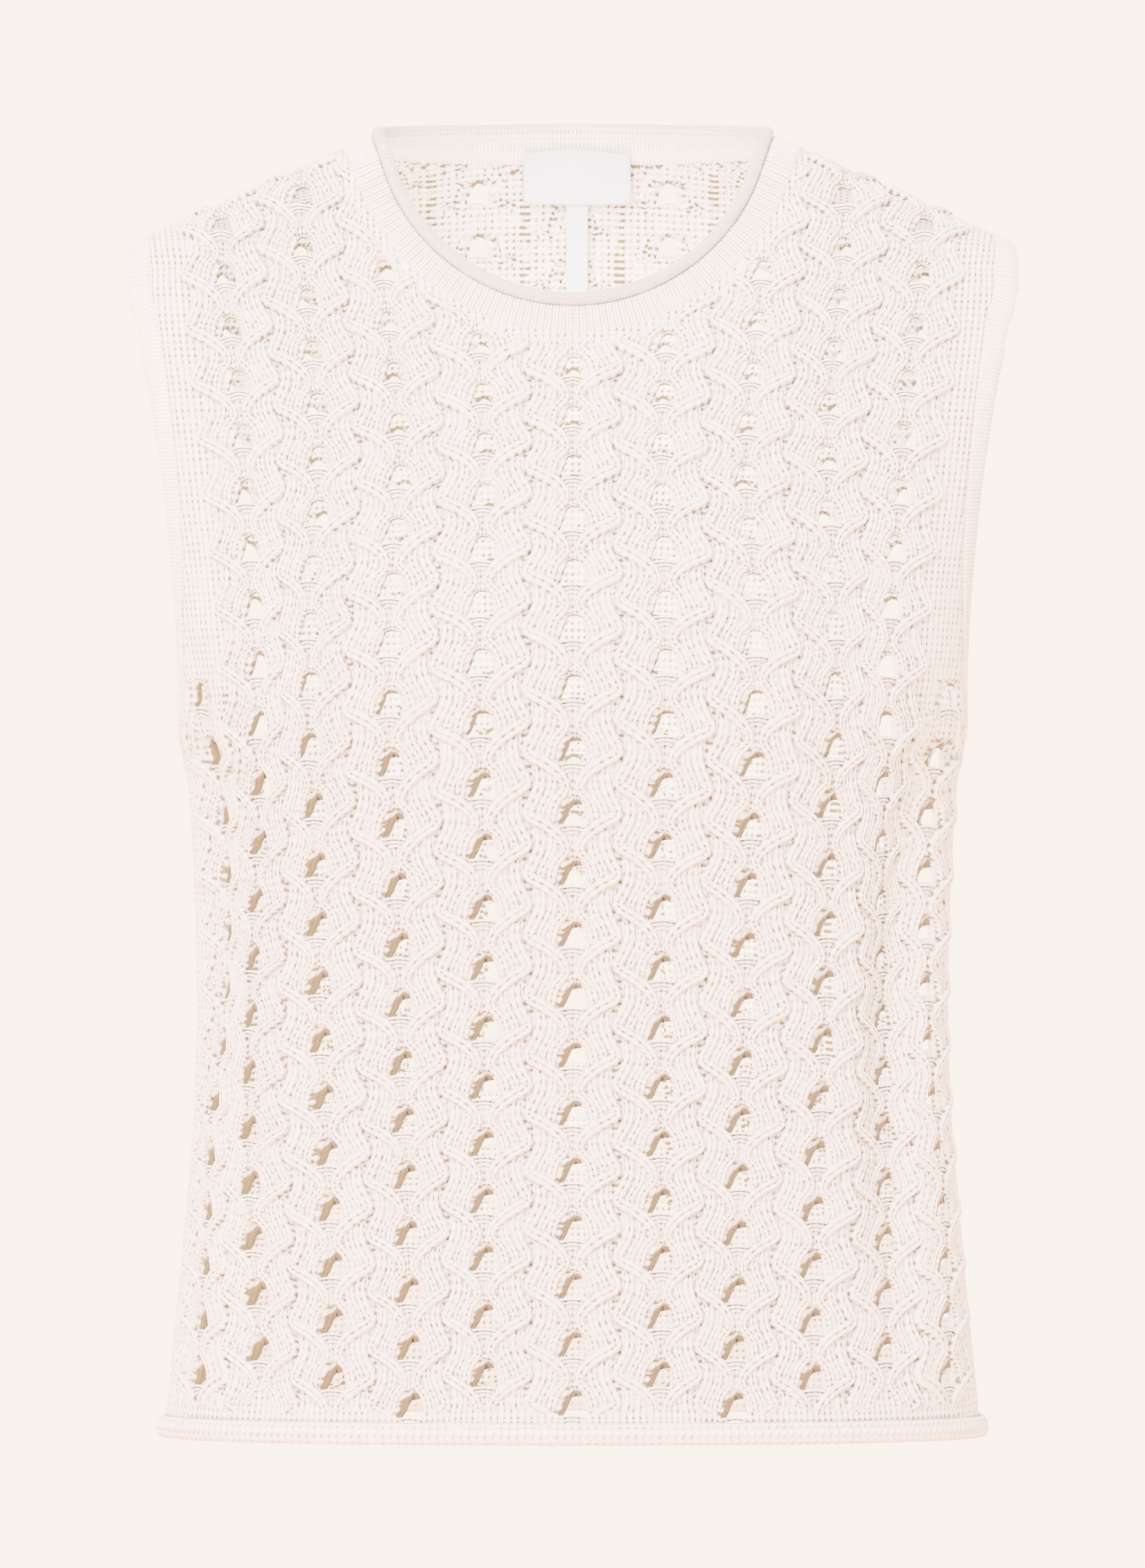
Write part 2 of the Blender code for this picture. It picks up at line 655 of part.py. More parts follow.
def build_neckband():
    count = NECK_STATIONS
    quarter = {}
    for side in (FRONT, BACK):
        points, normal = neck_curve(side, count)
        t = np.linspace(0, 1, count)
        t = t * t * (3 - 2 * t)
        middle_width = sum(NECKBAND_WIDTHS.values()) / 2
        width = NECKBAND_WIDTHS[side] * (1 - t) + middle_width * t
        seam = np.full(count, SEAM_GAP)
        profile = [(seam, 0.0), (seam, 2.7), (width - 5.0, 3.2)]
        roll = ((0.0, 2.3), (0.9, 4.4), (2.5, 5.4), (4.3, 4.9), (5.4, 2.9), (4.8, 0.6), (2.5, -0.4))
        profile += [(width + across, out) for across, out in roll]
        from_middle = np.linspace(0, 1, count)
        beside, middle = NECK_STAND
        stand = beside * np.sin(math.pi * from_middle**1.6) + middle * (1 - from_middle)
        stand = stand if side == BACK else 0.0
        for mirror in (1.0, -1.0):
            quarter[side, mirror] = band_stations(
                points, normal, neck_ends(), side, profile, mirror, stand
            )
    right = quarter[FRONT, 1.0] + quarter[BACK, 1.0][-2::-1]
    left = quarter[BACK, -1.0][1:] + quarter[FRONT, -1.0][-2:0:-1]
    return ring("neckband", right + left)


def build_hem_roll():
    profile = (
        (SEAM_GAP, 0.0),
        (SEAM_GAP, 2.6),
        (2.0, 5.2),
        (4.8, 6.3),
        (8.0, 5.2),
        (9.6, 2.6),
        (8.0, 0.2),
        (4.0, -0.6),
    )
    columns = np.linspace(-SEAM_COLUMN, SEAM_COLUMN, 33)
    stations = []
    for side in (FRONT, BACK):
        sets = []
        for below, out in profile:
            drop = hem_drop(columns) + below
            s = column_place(columns, drop, side)
            sets.append(formed(s, drop, np.full(len(columns), out), side))
        rows = [[Vector(s[n]) for s in sets] for n in range(len(columns))]
        stations += rows[:-1] if side == FRONT else rows[:0:-1]
    return ring("hem_roll", stations)


def build_tag(name, half_width, top, foot, lift, thickness, rows, columns):
    """A small flat piece hanging on the inside of the back."""
    mesh = bmesh.new()
    across = np.linspace(-half_width, half_width, columns)
    drops = np.linspace(top, foot, rows)
    s, b = np.meshgrid(across, drops)
    s, b = s.ravel(), b.ravel()
    faces = {}
    for key, out in (("outer", -lift), ("inner", -lift - thickness)):
        faces[key] = [mesh.verts.new(p) for p in formed(s, b, np.full(len(s), out), BACK)]
    for r in range(rows - 1):
        for c in range(columns - 1):
            first, below = r * columns + c, (r + 1) * columns + c
            corners = (first, first + 1, below + 1, below)
            mesh.faces.new([faces["outer"][i] for i in corners])
            mesh.faces.new([faces["inner"][i] for i in reversed(corners)])
    rim = list(range(columns))
    rim += [r * columns + columns - 1 for r in range(1, rows)]
    rim += [(rows - 1) * columns + c for c in range(columns - 2, -1, -1)]
    rim += [r * columns for r in range(rows - 2, 0, -1)]
    for n, i in enumerate(rim):
        j = rim[n - 1]
        mesh.faces.new((faces["outer"][i], faces["outer"][j], faces["inner"][j], faces["inner"][i]))
    return finish(name, mesh)


def material(name, colour, roughness):
    made = bpy.data.materials.new(name)
    made.use_nodes = True
    shader = made.node_tree.nodes["Principled BSDF"]
    shader.inputs["Base Color"].default_value = (*colour, 1.0)
    shader.inputs["Roughness"].default_value = roughness
    shader.inputs["Metallic"].default_value = 0.0
    return made


for old in list(bpy.data.objects):
    bpy.data.objects.remove(old, do_unlink=True)
garment = bpy.data.collections.new("sweater_vest")
bpy.context.scene.collection.children.link(garment)

IVORY = (0.88, 0.83, 0.78)
WHITE = (0.9, 0.89, 0.9)
MATERIALS = {}
for piece_name in ("front", "back", "neckband", "armband_left", "armband_right", "hem_roll"):
    MATERIALS[piece_name] = material(piece_name + "_knit", IVORY, 0.9)
MATERIALS["neck_label"] = material("label_weave", WHITE, 0.6)
MATERIALS["care_ribbon"] = material("ribbon_weave", WHITE, 0.55)

build_panel("front", FRONT)
build_panel("back", BACK)
build_neckband()
build_armband("armband_left", 1.0)
build_armband("armband_right", -1.0)
build_hem_roll()
for tag in TAGS:
    build_tag(**dict(zip(TAG_COLUMNS, tag)))
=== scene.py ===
"""Looks of the sleeveless cable-knit vest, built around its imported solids.

The cloth is laid out in two steps, in millimetres: pattern coordinates (a = column of holes,
j = half repeats above the hem) give cloth coordinates (s = length across from the middle,
b = drop, carried on over the shoulder), and those give a place on the figure.
"""
import math

import bmesh
import bpy
import numpy as np
from mathutils import Matrix, Vector


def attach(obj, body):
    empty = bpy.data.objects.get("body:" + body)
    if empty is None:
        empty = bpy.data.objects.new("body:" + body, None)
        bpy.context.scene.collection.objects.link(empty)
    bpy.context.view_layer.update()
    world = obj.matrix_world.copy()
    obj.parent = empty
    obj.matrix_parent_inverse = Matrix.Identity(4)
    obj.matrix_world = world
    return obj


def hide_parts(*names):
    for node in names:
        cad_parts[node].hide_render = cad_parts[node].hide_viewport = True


bl_info = {
    "name": "Cable-knit vest",
    "version": (1, 0, 0),
    "blender": (4, 5, 0),
    "location": "View3D > Sidebar > Vest",
    "description": "Knits the vest's cloth, bands and rolled edges over its solids",
    "category": "Object",
}

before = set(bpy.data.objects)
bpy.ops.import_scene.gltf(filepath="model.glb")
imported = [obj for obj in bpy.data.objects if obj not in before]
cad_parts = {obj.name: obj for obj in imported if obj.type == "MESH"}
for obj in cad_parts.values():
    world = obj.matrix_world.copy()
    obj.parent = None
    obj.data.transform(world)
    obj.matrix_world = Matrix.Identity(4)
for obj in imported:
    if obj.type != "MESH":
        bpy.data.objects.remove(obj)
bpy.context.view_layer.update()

MM = 0.001
FRONT = -1.0
BACK = 1.0
SIDES = {"front": FRONT, "back": BACK}

# ---------------------------------------------------------------- sizes of the garment

ORIGIN_DROP = 30.0          # the frame's origin lies this far below the top of the neck
SEAM_COLUMN = 6.0           # the side seam lies this many columns from the middle
TOP_PITCH = 39.0            # width of a column at the chest and shoulders
NECK_SPREAD = 0.09          # columns beside the neck lie further apart by this share
RAISED_COLUMNS = 5          # cables go out to this column
HIGH_COLUMNS = 4            # the outermost column that reaches the shoulder
SHORT_COLUMN_DROP = 250.0   # further out, the cables start below this drop
RIDGE_START = (80.0, 4.8)   # distance from the middle and drop, at the neck
RIDGE_SLOPE = 0.449
NECK_HALF_WIDTH = 99.0
NECK_DROP = {FRONT: 95.4, BACK: 13.0}
NECK_POWER = {FRONT: 2.0, BACK: 2.6}     # how square the neck curve is
HEM_DROP = 564.5
HEM_SIDE_DIP = 4.3          # the hem lies this much lower at the sides
ARMHOLE_DROP = (54.0, 276.0)
ARMHOLE_REACH = {FRONT: 48.0, BACK: 44.0}
ARMHOLE_ROUND = 0.42        # 0.5 is an oval, and less is flatter under the arm
ARMBAND_WIDTH = 9.0
NECKBAND_WIDTHS = {FRONT: 11.3, BACK: 12.2}
NECK_STAND = (3.2, -0.8)    # how far the band stands up behind, beside the middle and at it
BREADTH = 2.3               # exponent of the sections' flatness in front and behind

SECTION_COLUMNS = ("drop", "half_width", "front", "back", "fullness")
SECTIONS = (
    (-20.0, 191.0, 26.0, 46.0, 1.30),
    (0.0, 193.0, 30.0, 56.0, 1.30),
    (30.0, 195.0, 36.0, 69.0, 1.30),
    (62.0, 195.6, 46.0, 80.0, 1.30),
    (90.0, 188.6, 58.0, 87.5, 1.30),
    (126.0, 181.4, 77.0, 93.5, 1.30),
    (163.0, 175.6, 95.5, 96.0, 1.32),
    (200.0, 171.4, 109.0, 95.0, 1.45),
    (236.0, 169.2, 115.5, 91.5, 1.80),
    (276.0, 168.8, 114.0, 86.5, 2.25),
    (292.0, 166.6, 112.0, 84.5, 2.30),
    (327.0, 164.3, 107.5, 81.0, 2.30),
    (364.0, 162.9, 104.0, 79.5, 2.30),
    (400.0, 162.8, 102.5, 81.0, 2.30),
    (437.0, 164.2, 103.5, 85.0, 2.30),
    (474.0, 167.2, 106.0, 90.0, 2.30),
    (510.0, 170.5, 108.5, 94.5, 2.30),
    (547.0, 174.2, 111.0, 98.5, 2.30),
    (580.0, 177.4, 112.5, 101.0, 2.30),
)
ROW_COLUMNS = ("row", "front_middle", "back_middle", "side")
ROWS = (
    (-1.0, 568.0, 570.5, 571.0),
    (0.0, 555.6, 558.0, 558.8),
    (6.0, 481.0, 484.5, 487.5),
    (12.0, 407.0, 411.0, 416.0),
    (19.0, 315.5, 323.0, 329.0),
    (26.0, 224.3, 234.0, 239.6),
    (31.0, 166.5, 171.0, 177.5),
    (36.0, 111.5, 110.0, 117.0),
    (41.0, 56.0, 50.0, 58.0),
    (48.0, -22.0, -34.0, -26.0),
)
SIDE_COLUMN = 4.5           # the rows have their side drops from here outward

# How far the body draws the front's columns outward, by drop and column
PULL_COLUMNS = ("drop", "one", "two", "three", "four", "five", "seam")
PULLS = (
    (40.0, 1.0, 0.0, -5.2, -6.0, -6.0, 0.0),
    (85.0, 0.5, -1.5, -7.0, -10.0, -9.0, 0.0),
    (130.0, -1.2, -4.0, -8.2, -13.0, -12.0, 0.0),
    (165.0, -0.8, -3.0, -6.3, -12.5, -12.0, 0.0),
    (205.0, 0.5, 0.3, -2.0, -13.8, -13.0, 0.0),
    (250.0, 0.8, 1.2, -1.0, -16.0, -14.0, 0.0),
    (300.0, 1.0, 1.6, 0.5, -9.5, -15.0, 0.0),
    (355.0, 1.7, 1.9, 2.4, 0.5, -13.5, 0.0),
    (407.0, 1.7, 1.1, 1.5, 4.3, -12.0, 0.0),
    (456.0, 1.0, -2.0, -4.0, 0.8, -8.5, 0.0),
    (506.0, 0.0, -5.5, -9.2, -7.5, -10.5, 0.0),
    (556.0, -1.4, -8.5, -12.8, -16.6, -17.0, 0.0),
)

# Soft folds: column and drop at both ends, depth inward, half width in columns
FOLDS = (
    (FRONT, 4.35, 3.75, 235.0, 560.0, 8.0, 0.42),
    (FRONT, 5.0, 4.7, 250.0, 555.0, -2.2, 0.45),
    (FRONT, -4.55, -4.9, 225.0, 430.0, 6.5, 0.45),
    (FRONT, -2.3, -2.2, 430.0, 575.0, 2.4, 0.30),
    (FRONT, -3.7, -3.5, 430.0, 575.0, 3.0, 0.34),
    (FRONT, -5.0, -4.9, 440.0, 575.0, 3.0, 0.34),
    (BACK, 3.9, 4.3, 240.0, 540.0, 5.0, 0.5),
    (BACK, -4.3, -3.9, 260.0, 555.0, 4.5, 0.5),
)

SAMPLES = 90
WALES_PER_COLUMN = 13
COURSES_PER_ROW = 4

# One cable strand, from where it comes out from under the last crossing to where it goes
# under the next: rows below its hole, columns beside it, half width, height of its edges
# and of its crest
STRAND_COLUMNS = ("below", "beside", "half_width", "edge", "crest")
STRAND = (
    (-1.62, 0.390, 0.050, 0.6, 1.4),
    (-1.38, 0.362, 0.066, 1.2, 2.8),
    (-1.00, 0.352, 0.071, 1.3, 3.8),
    (-0.60, 0.395, 0.074, 1.3, 4.1),
    (-0.25, 0.455, 0.074, 1.3, 4.3),
    (-0.02, 0.494, 0.072, 1.5, 4.6),
    (0.13, 0.470, 0.072, 2.0, 4.9),
    (0.27, 0.385, 0.072, 2.4, 5.1),
    (0.45, 0.278, 0.073, 2.4, 5.1),
    (0.73, 0.162, 0.071, 2.2, 4.8),
    (1.02, 0.092, 0.062, 1.8, 4.4),
    (1.25, 0.076, 0.056, 1.6, 4.0),
    (1.42, 0.110, 0.058, 1.3, 3.8),
    (1.60, 0.168, 0.060, 1.2, 3.7),
    (1.82, 0.210, 0.062, 1.2, 3.7),
    (2.05, 0.232, 0.064, 1.2, 3.7),
    (2.32, 0.248, 0.062, 1.0, 3.2),
    (2.56, 0.262, 0.050, 0.5, 1.5),
)
# The two wales in the middle of each leaf, between one crossing and the next
LEAF = (
    (-1.46, 0.235, 0.046, 0.8, 1.8),
    (-1.22, 0.222, 0.058, 1.2, 2.9),
    (-0.95, 0.220, 0.060, 1.3, 3.3),
    (-0.62, 0.246, 0.064, 1.3, 3.4),
    (-0.30, 0.306, 0.062, 1.3, 3.5),
    (0.00, 0.356, 0.058, 1.3, 3.5),
    (0.22, 0.342, 0.056, 1.2, 3.2),
    (0.44, 0.305, 0.046, 0.8, 1.8),
)


def table(columns, rows):
    return {name: np.array(values, float) for name, values in zip(columns, zip(*rows))}


SECTION = table(SECTION_COLUMNS, SECTIONS)
ROW = table(ROW_COLUMNS, ROWS)
PULL = table(PULL_COLUMNS, PULLS)

# ---------------------------------------------------------------- settings


def number_field(name, description, default, **more):
    return bpy.props.FloatProperty(name=name, description=description, default=default, **more)


def length_field(name, description, default):
    return number_field(name, description, default, unit="LENGTH")


def colour_field(name, description, default):
    return bpy.props.FloatVectorProperty(
        name=name, description=description, subtype="COLOR", default=default)


class VestKnit(bpy.types.PropertyGroup):
    panel_face: length_field("Panel face", "Height of the plain knit over the figure", 0.0026)
    panel_gauge: length_field("Panel gauge", "Thickness of the plain knit", 0.0015)
    valley: length_field("Valley", "Height of the ground between the cables", 0.0021)
    seam_dip: length_field("Seam dip", "How much deeper the ground lies where columns meet", 0.0006)
    hole_foot: length_field("Hole foot", "Half width of a hole at its foot", 0.0066)
    hole_top: length_field("Hole top", "Half width of a hole at its top", 0.0038)
    hole_below: length_field("Hole below", "Reach of a hole below its middle", 0.0060)
    hole_above: length_field("Hole above", "Reach of a hole above its middle", 0.0064)
    bar_radius: length_field("Ladder yarn", "Radius of the bars below a hole", 0.00085)
    stitch_depth: length_field("Stitch depth", "Depth of the stitches", 0.0009)


class VestColours(bpy.types.PropertyGroup):
    yarn: colour_field("Yarn", "Warm ivory of the knit", (0.83, 0.815, 0.86))
    # painted shade: the tan mixed into stitch valleys, creases, strand and rib edges, and laid solid on
    # the hole lips as a painted shadow
    crevice_shade: colour_field("Crevice", "Tan of the deep gaps between stitches", (0.13, 0.105, 0.045))
    label: colour_field("Label", "Cool white of the label and ribbon", (0.62, 0.68, 0.92))
    backdrop: colour_field("Backdrop", "Pale warm white behind the garment", (1.0, 0.716, 0.50))


class VestStudio(bpy.types.PropertyGroup):
    camera_distance: length_field("Camera distance", "From the camera to the shoulders' plane", 4.0)
    camera_height: length_field("Camera height", "Above the origin", -0.261)
    view_height: length_field("View height", "Height of the picture at the shoulders' plane", 0.6903)
    backdrop_light: number_field("Backdrop light", "Strength of the even light all round", 9.83)
    dim_right: number_field("Dimmer right", "Share of the light missing from the right", 0.55)
    dim_left: number_field("Dimmer left", "Share of the light missing from the left", 0.3)
    floor_drop: length_field("Floor drop", "From the shoulders to the floor", 1.42)


def knit():
    return bpy.context.scene.vest_knit


def colours():
    return bpy.context.scene.vest_colours


def studio():
    return bpy.context.scene.vest_studio


# ---------------------------------------------------------------- form of the figure


def smooth_interp(at, places, values):
    """Cubic through a table's points, with the slopes of their neighbours."""
    slopes = np.gradient(values, places)
    at = np.asarray(at, float)
    cell = np.clip(np.searchsorted(places, at) - 1, 0, len(places) - 2)
    width = places[cell + 1] - places[cell]
    t = np.clip((at - places[cell]) / width, -0.5, 1.5)
    start, end = values[cell], values[cell + 1]
    cubic = (
        (2 * t**3 - 3 * t**2 + 1) * start
        + (t**3 - 2 * t**2 + t) * width * slopes[cell]
        + (3 * t**2 - 2 * t**3) * end
        + (t**3 - t**2) * width * slopes[cell + 1]
    )
    before = start + t * width * slopes[cell]
    beyond = end + (t - 1) * width * slopes[cell + 1]
    return np.where(t < 0, before, np.where(t > 1, beyond, cubic))


def ease(t):
    t = np.clip(t, 0, 1)
    return t * t * (3 - 2 * t)


def pick(at, places, values):
    """For each row of the tables, the value at one place, going on straight past the end."""
    cell = np.clip((places < at[:, None]).sum(1) - 1, 0, places.shape[1] - 2)
    rows = np.arange(len(at))
    start, end = places[rows, cell], places[rows, cell + 1]
    t = (at - start) / np.maximum(end - start, 1e-9)
    return values[rows, cell] * (1 - t) + values[rows, cell + 1] * t


def armhole_reach(drop, side):
    top, foot = ARMHOLE_DROP
    t = np.clip(np.abs((drop - (top + foot) / 2) / ((foot - top) / 2)), 0, 1)
    reach = ARMHOLE_REACH[side] * (1 - t**2.4) ** ARMHOLE_ROUND
    return np.where(drop > foot, 0.0, reach)


REACH_DROPS = np.linspace(0.0, 340.0, 1361)


def blurred_reach(side, spread=13.0):
    """The armhole's reach evened out over its neighbours, for the cloth inside the edge."""
    sharp = armhole_reach(REACH_DROPS, side)
    step = REACH_DROPS[1] - REACH_DROPS[0]
    away = np.arange(-3 * spread, 3 * spread + step / 2, step)
    weight = np.exp(-(away / spread) ** 2 / 2)
    return np.convolve(np.pad(sharp, len(away) // 2, mode="edge"), weight / weight.sum(), "valid")


SOFT_REACH = {side: blurred_reach(side) for side in (FRONT, BACK)}


def lengths(x, y):
    steps = np.hypot(np.diff(x, axis=1), np.diff(y, axis=1))
    return np.concatenate([np.zeros((len(x), 1)), np.cumsum(steps, axis=1)], axis=1)


def section(drop, side):
    """Polylines across one half of the figure, from the middle to the side."""
    drop = np.atleast_1d(np.asarray(drop, float))
    half_width = smooth_interp(drop, SECTION["drop"], SECTION["half_width"])
    depth = smooth_interp(drop, SECTION["drop"], SECTION["front" if side == FRONT else "back"])
    fullness = smooth_interp(drop, SECTION["drop"], SECTION["fullness"])
    soft = np.interp(drop, REACH_DROPS, SOFT_REACH[side])
    sharper = armhole_reach(drop, side) - soft
    turn = np.linspace(0, math.pi / 2, SAMPLES)
    x = half_width[:, None] * np.sin(turn) ** (2 / BREADTH)
    y = soft[:, None] + (depth - soft)[:, None] * np.cos(turn) ** (2 / fullness[:, None])
    y = y + sharper[:, None] * np.sin(turn) ** 16
    return x, y, lengths(x, y)


def section_length(drop, side):
    return section(drop, side)[2][:, -1]


def fold_height(x, side):
    """How far below the shoulder line the cloth starts to turn over it."""
    if side == FRONT:
        return np.full_like(x, 20.0)
    return np.clip(45.0 - (x - 80.0) * 0.25, 20.0, 50.0)


def ridge_drop(x):
    return RIDGE_START[1] + RIDGE_SLOPE * (x - RIDGE_START[0])


def turn_over(x, reach, height):
    """The quarter turn up to the shoulder line, and a little past."""
    turn = np.linspace(0, math.radians(110), SAMPLES)
    y = reach[:, None] * np.cos(turn)
    rise = height[:, None] * np.sin(turn)
    along = lengths(y, rise)
    quarter = pick(np.full(len(x), math.pi / 2), np.tile(turn, (len(x), 1)), along)
    return y, rise, along, quarter


def across_at(s, drop, side):
    x, y, along = section(drop, side)
    return pick(s, along, x), pick(s, along, y)


def shoulder_start(s, b, side):
    """X and depth where the cloth at s leaves the upright figure, and the drop there."""
    x = s
    for _ in range(4):
        start = ridge_drop(x) + fold_height(x, side)
        x, reach = across_at(s, start if b is None else np.maximum(b, start), side)
    return x, reach, start


def surface(s, b, side):
    """Inner face of the cloth in millimetres."""
    sign = np.where(s < 0, -1.0, 1.0)
    x, reach, start = shoulder_start(np.abs(s), b, side)
    y_turn, rise, along, _ = turn_over(x, reach, fold_height(x, side))
    past = np.maximum(start - b, 0)
    y = np.where(past > 0, pick(past, along, y_turn), reach)
    drop = np.where(past > 0, start - pick(past, along, rise), b)
    return np.stack([sign * x, side * y, ORIGIN_DROP - drop], axis=1)


def ridge_b(s, side):
    """The coordinate b of the shoulder line."""
    s = np.abs(np.atleast_1d(np.asarray(s, float)))
    x, reach, start = shoulder_start(s, None, side)
    return start - turn_over(x, reach, fold_height(x, side))[3]


def column_place(a, b, side):
    """Length across from the middle to column a."""
    b = np.asarray(b, float)
    low = section_length(np.maximum(b, ARMHOLE_DROP[1]), side) / SEAM_COLUMN
    rise = ease((ARMHOLE_DROP[1] - b) / (ARMHOLE_DROP[1] - 100.0))
    pitch = low + (TOP_PITCH - low) * rise
    spread = NECK_SPREAD * np.clip((160.0 - b) / 100.0, 0, 1) * (1 - (np.abs(a) / 5) ** 2)
    return a * pitch * (1 + np.maximum(spread, 0))


def row_drop(a, j, side):
    middle = ROW["front_middle" if side == FRONT else "back_middle"]
    t = ease(np.abs(a) / SIDE_COLUMN)
    return (smooth_interp(j, ROW["row"], middle) * (1 - t)
            + smooth_interp(j, ROW["row"], ROW["side"]) * t)


def pull(a, b):
    """How much further out than evenly spaced a column of the front lies."""
    size = np.abs(a)
    drop = np.clip(b, PULL["drop"][0], PULL["drop"][-1])
    total = np.zeros_like(size + b)
    for column, name in enumerate(PULL_COLUMNS[1:], start=1):
        share = np.clip(1 - np.abs(size - column), 0, 1)
        total += share * smooth_interp(drop, PULL["drop"], PULL[name])
    return np.sign(a) * total


def hem_drop(a):
    return HEM_DROP + HEM_SIDE_DIP * (np.abs(a) / SEAM_COLUMN) ** 2.5


def fold_rise(s, b, side):
    """Height of the soft folds, outward."""
    a = s / column_place(np.ones_like(s), b, side)
    total = np.zeros_like(s)
    for panel, top_a, foot_a, top, foot, depth, spread in FOLDS:
        if panel == side:
            t = np.clip((b - top) / (foot - top), 0, 1)
            middle = top_a + (foot_a - top_a) * t
            total -= depth * np.sin(math.pi * t) ** 0.8 * np.exp(-(((a - middle) / spread) ** 2))
    return total * np.clip((SEAM_COLUMN - np.abs(a)) / 0.5, 0, 1)


class Lookup:
    """Values on a regular grid, read between its points with cubics."""

    def __init__(self, x_range, y_range, make):
        self.start = np.array([x_range[0], y_range[0]])
        self.step = np.array([x_range[2], y_range[2]])
        xs = np.arange(x_range[0], x_range[1] + x_range[2] / 2, x_range[2])
        ys = np.arange(y_range[0], y_range[1] + y_range[2] / 2, y_range[2])
        grid_x, grid_y = np.meshgrid(xs, ys, indexing="ij")
        values = make(grid_x.ravel(), grid_y.ravel())
        self.values = values.reshape(len(xs), len(ys), -1)

    @staticmethod
    def weights(t):
        return (
            ((-t + 2) * t - 1) * t / 2,
            ((3 * t - 5) * t * t + 2) / 2,
            ((-3 * t + 4) * t + 1) * t / 2,
            (t - 1) * t * t / 2,
        )

    def __call__(self, x, y):
        size = self.values.shape
        u = (np.asarray(x, float) - self.start[0]) / self.step[0]
        v = (np.asarray(y, float) - self.start[1]) / self.step[1]
        i = np.clip(np.floor(u).astype(int), 1, size[0] - 3)
        k = np.clip(np.floor(v).astype(int), 1, size[1] - 3)
        total = 0.0
        for di, wi in enumerate(self.weights(u - i)):
            for dk, wk in enumerate(self.weights(v - k)):
                total = total + self.values[i + di - 1, k + dk - 1] * (wi * wk)[:, None]
        return total


class Cloth:
    """One panel's form: places on it from pattern or cloth coordinates."""

    def __init__(self, side):
        self.side = side
        self.pattern = Lookup((-6.6, 6.6, 0.1), (-2.0, 48.5, 0.5), self.lay)
        self.form = Lookup((-264, 264, 4.0), (-96, 604, 4.0), self.shape)

    def lay(self, a, j):
        b = row_drop(a, j, self.side)
        s = column_place(a, b, self.side)
        if self.side == FRONT:
            s = s + pull(a, b)
        return np.stack([s, b], axis=1)

    def shape(self, s, b):
        here = surface(s, b, self.side)
        step = 0.35
        across = surface(s + step, b, self.side) - surface(s - step, b, self.side)
        down = surface(s, b + step, self.side) - surface(s, b - step, self.side)
        normal = np.cross(across, down) * self.side
        normal /= np.linalg.norm(normal, axis=1)[:, None]
        here += normal * fold_rise(s, b, self.side)[:, None]
        return np.concatenate([here, normal], axis=1)

    def at(self, s, b, height):
        """Places in metres, a height in millimetres over the figure."""
        found = self.form(s, b)
        normal = found[:, 3:] / np.linalg.norm(found[:, 3:], axis=1)[:, None]
        return (found[:, :3] + normal * np.asarray(height, float)[:, None]) * MM


CLOTHS = {side: Cloth(side) for side in (FRONT, BACK)}

# ---------------------------------------------------------------- edges of the panels


def spaced(points, count):
    """Resample a polyline at even lengths."""
    along = np.concatenate([[0], np.cumsum(np.linalg.norm(np.diff(points, axis=0), axis=1))])
    at = np.linspace(0, along[-1], count)
    return np.stack([np.interp(at, along, points[:, i]) for i in (0, 1)], axis=1)


def square_to(points, hand, start, end):
    """Unit vectors square to a curve, on one hand of it, given exactly at both ends."""
    slope = np.gradient(points, axis=0)
    normal = hand * np.stack([slope[:, 1], -slope[:, 0]], axis=1)
    normal /= np.linalg.norm(normal, axis=1)[:, None]
    normal[0], normal[-1] = start, end
    return normal


def armhole_curve(side, count):
    """The armhole's free edge, from the shoulder line down to the side seam."""
    top, foot = ARMHOLE_DROP
    tip = section_length(top + 20.0, side)[0]
    x_tip = across_at(np.array([tip]), np.array([top + 20.0]), side)[0]
    start = (ridge_drop(x_tip) + fold_height(x_tip, side))[0]
    high = np.linspace(ridge_b(tip, side)[0], start, 30)
    low = start + (foot - start) * np.linspace(0, 1, 160)[1:] ** 0.5
    curve = np.concatenate([
        np.stack([np.full_like(high, tip), high], axis=1),
        np.stack([section_length(low, side), low], axis=1),
    ])
    points = spaced(curve, count)
    return points, square_to(points, -1.0, (-1.0, 0.0), (0.0, 1.0))


def neck_curve(side, count):
    """Where the neckband meets the panel, from the middle to the shoulder line."""
    width = np.array([NECK_HALF_WIDTH])
    x, _, along = section(ridge_drop(width) + fold_height(width, side), side)
    end = pick(width, x, along)[0]
    ridge = ridge_b(end, side)[0]
    turn = np.linspace(0, math.pi / 2, 200)
    power = 2 / NECK_POWER[side]
    across = end * np.sin(turn) ** power
    drop = ridge + (NECK_DROP[side] - ridge) * np.cos(turn) ** power
    points = spaced(np.stack([across, drop], axis=1), count)
    return points, square_to(points, 1.0, (0.0, -1.0), (-1.0, 0.0))


def ridge_place(x, side):
    """Length across to the shoulder line's point at x."""
    xs, _, along = section(ridge_drop(x) + fold_height(x, side), side)
    return pick(x, xs, along)


def near_end(count, first):
    t = np.linspace(0, 1, count)
    t = t if first else 1 - t
    return np.clip(1 - 2.5 * t, 0, 1) ** 2


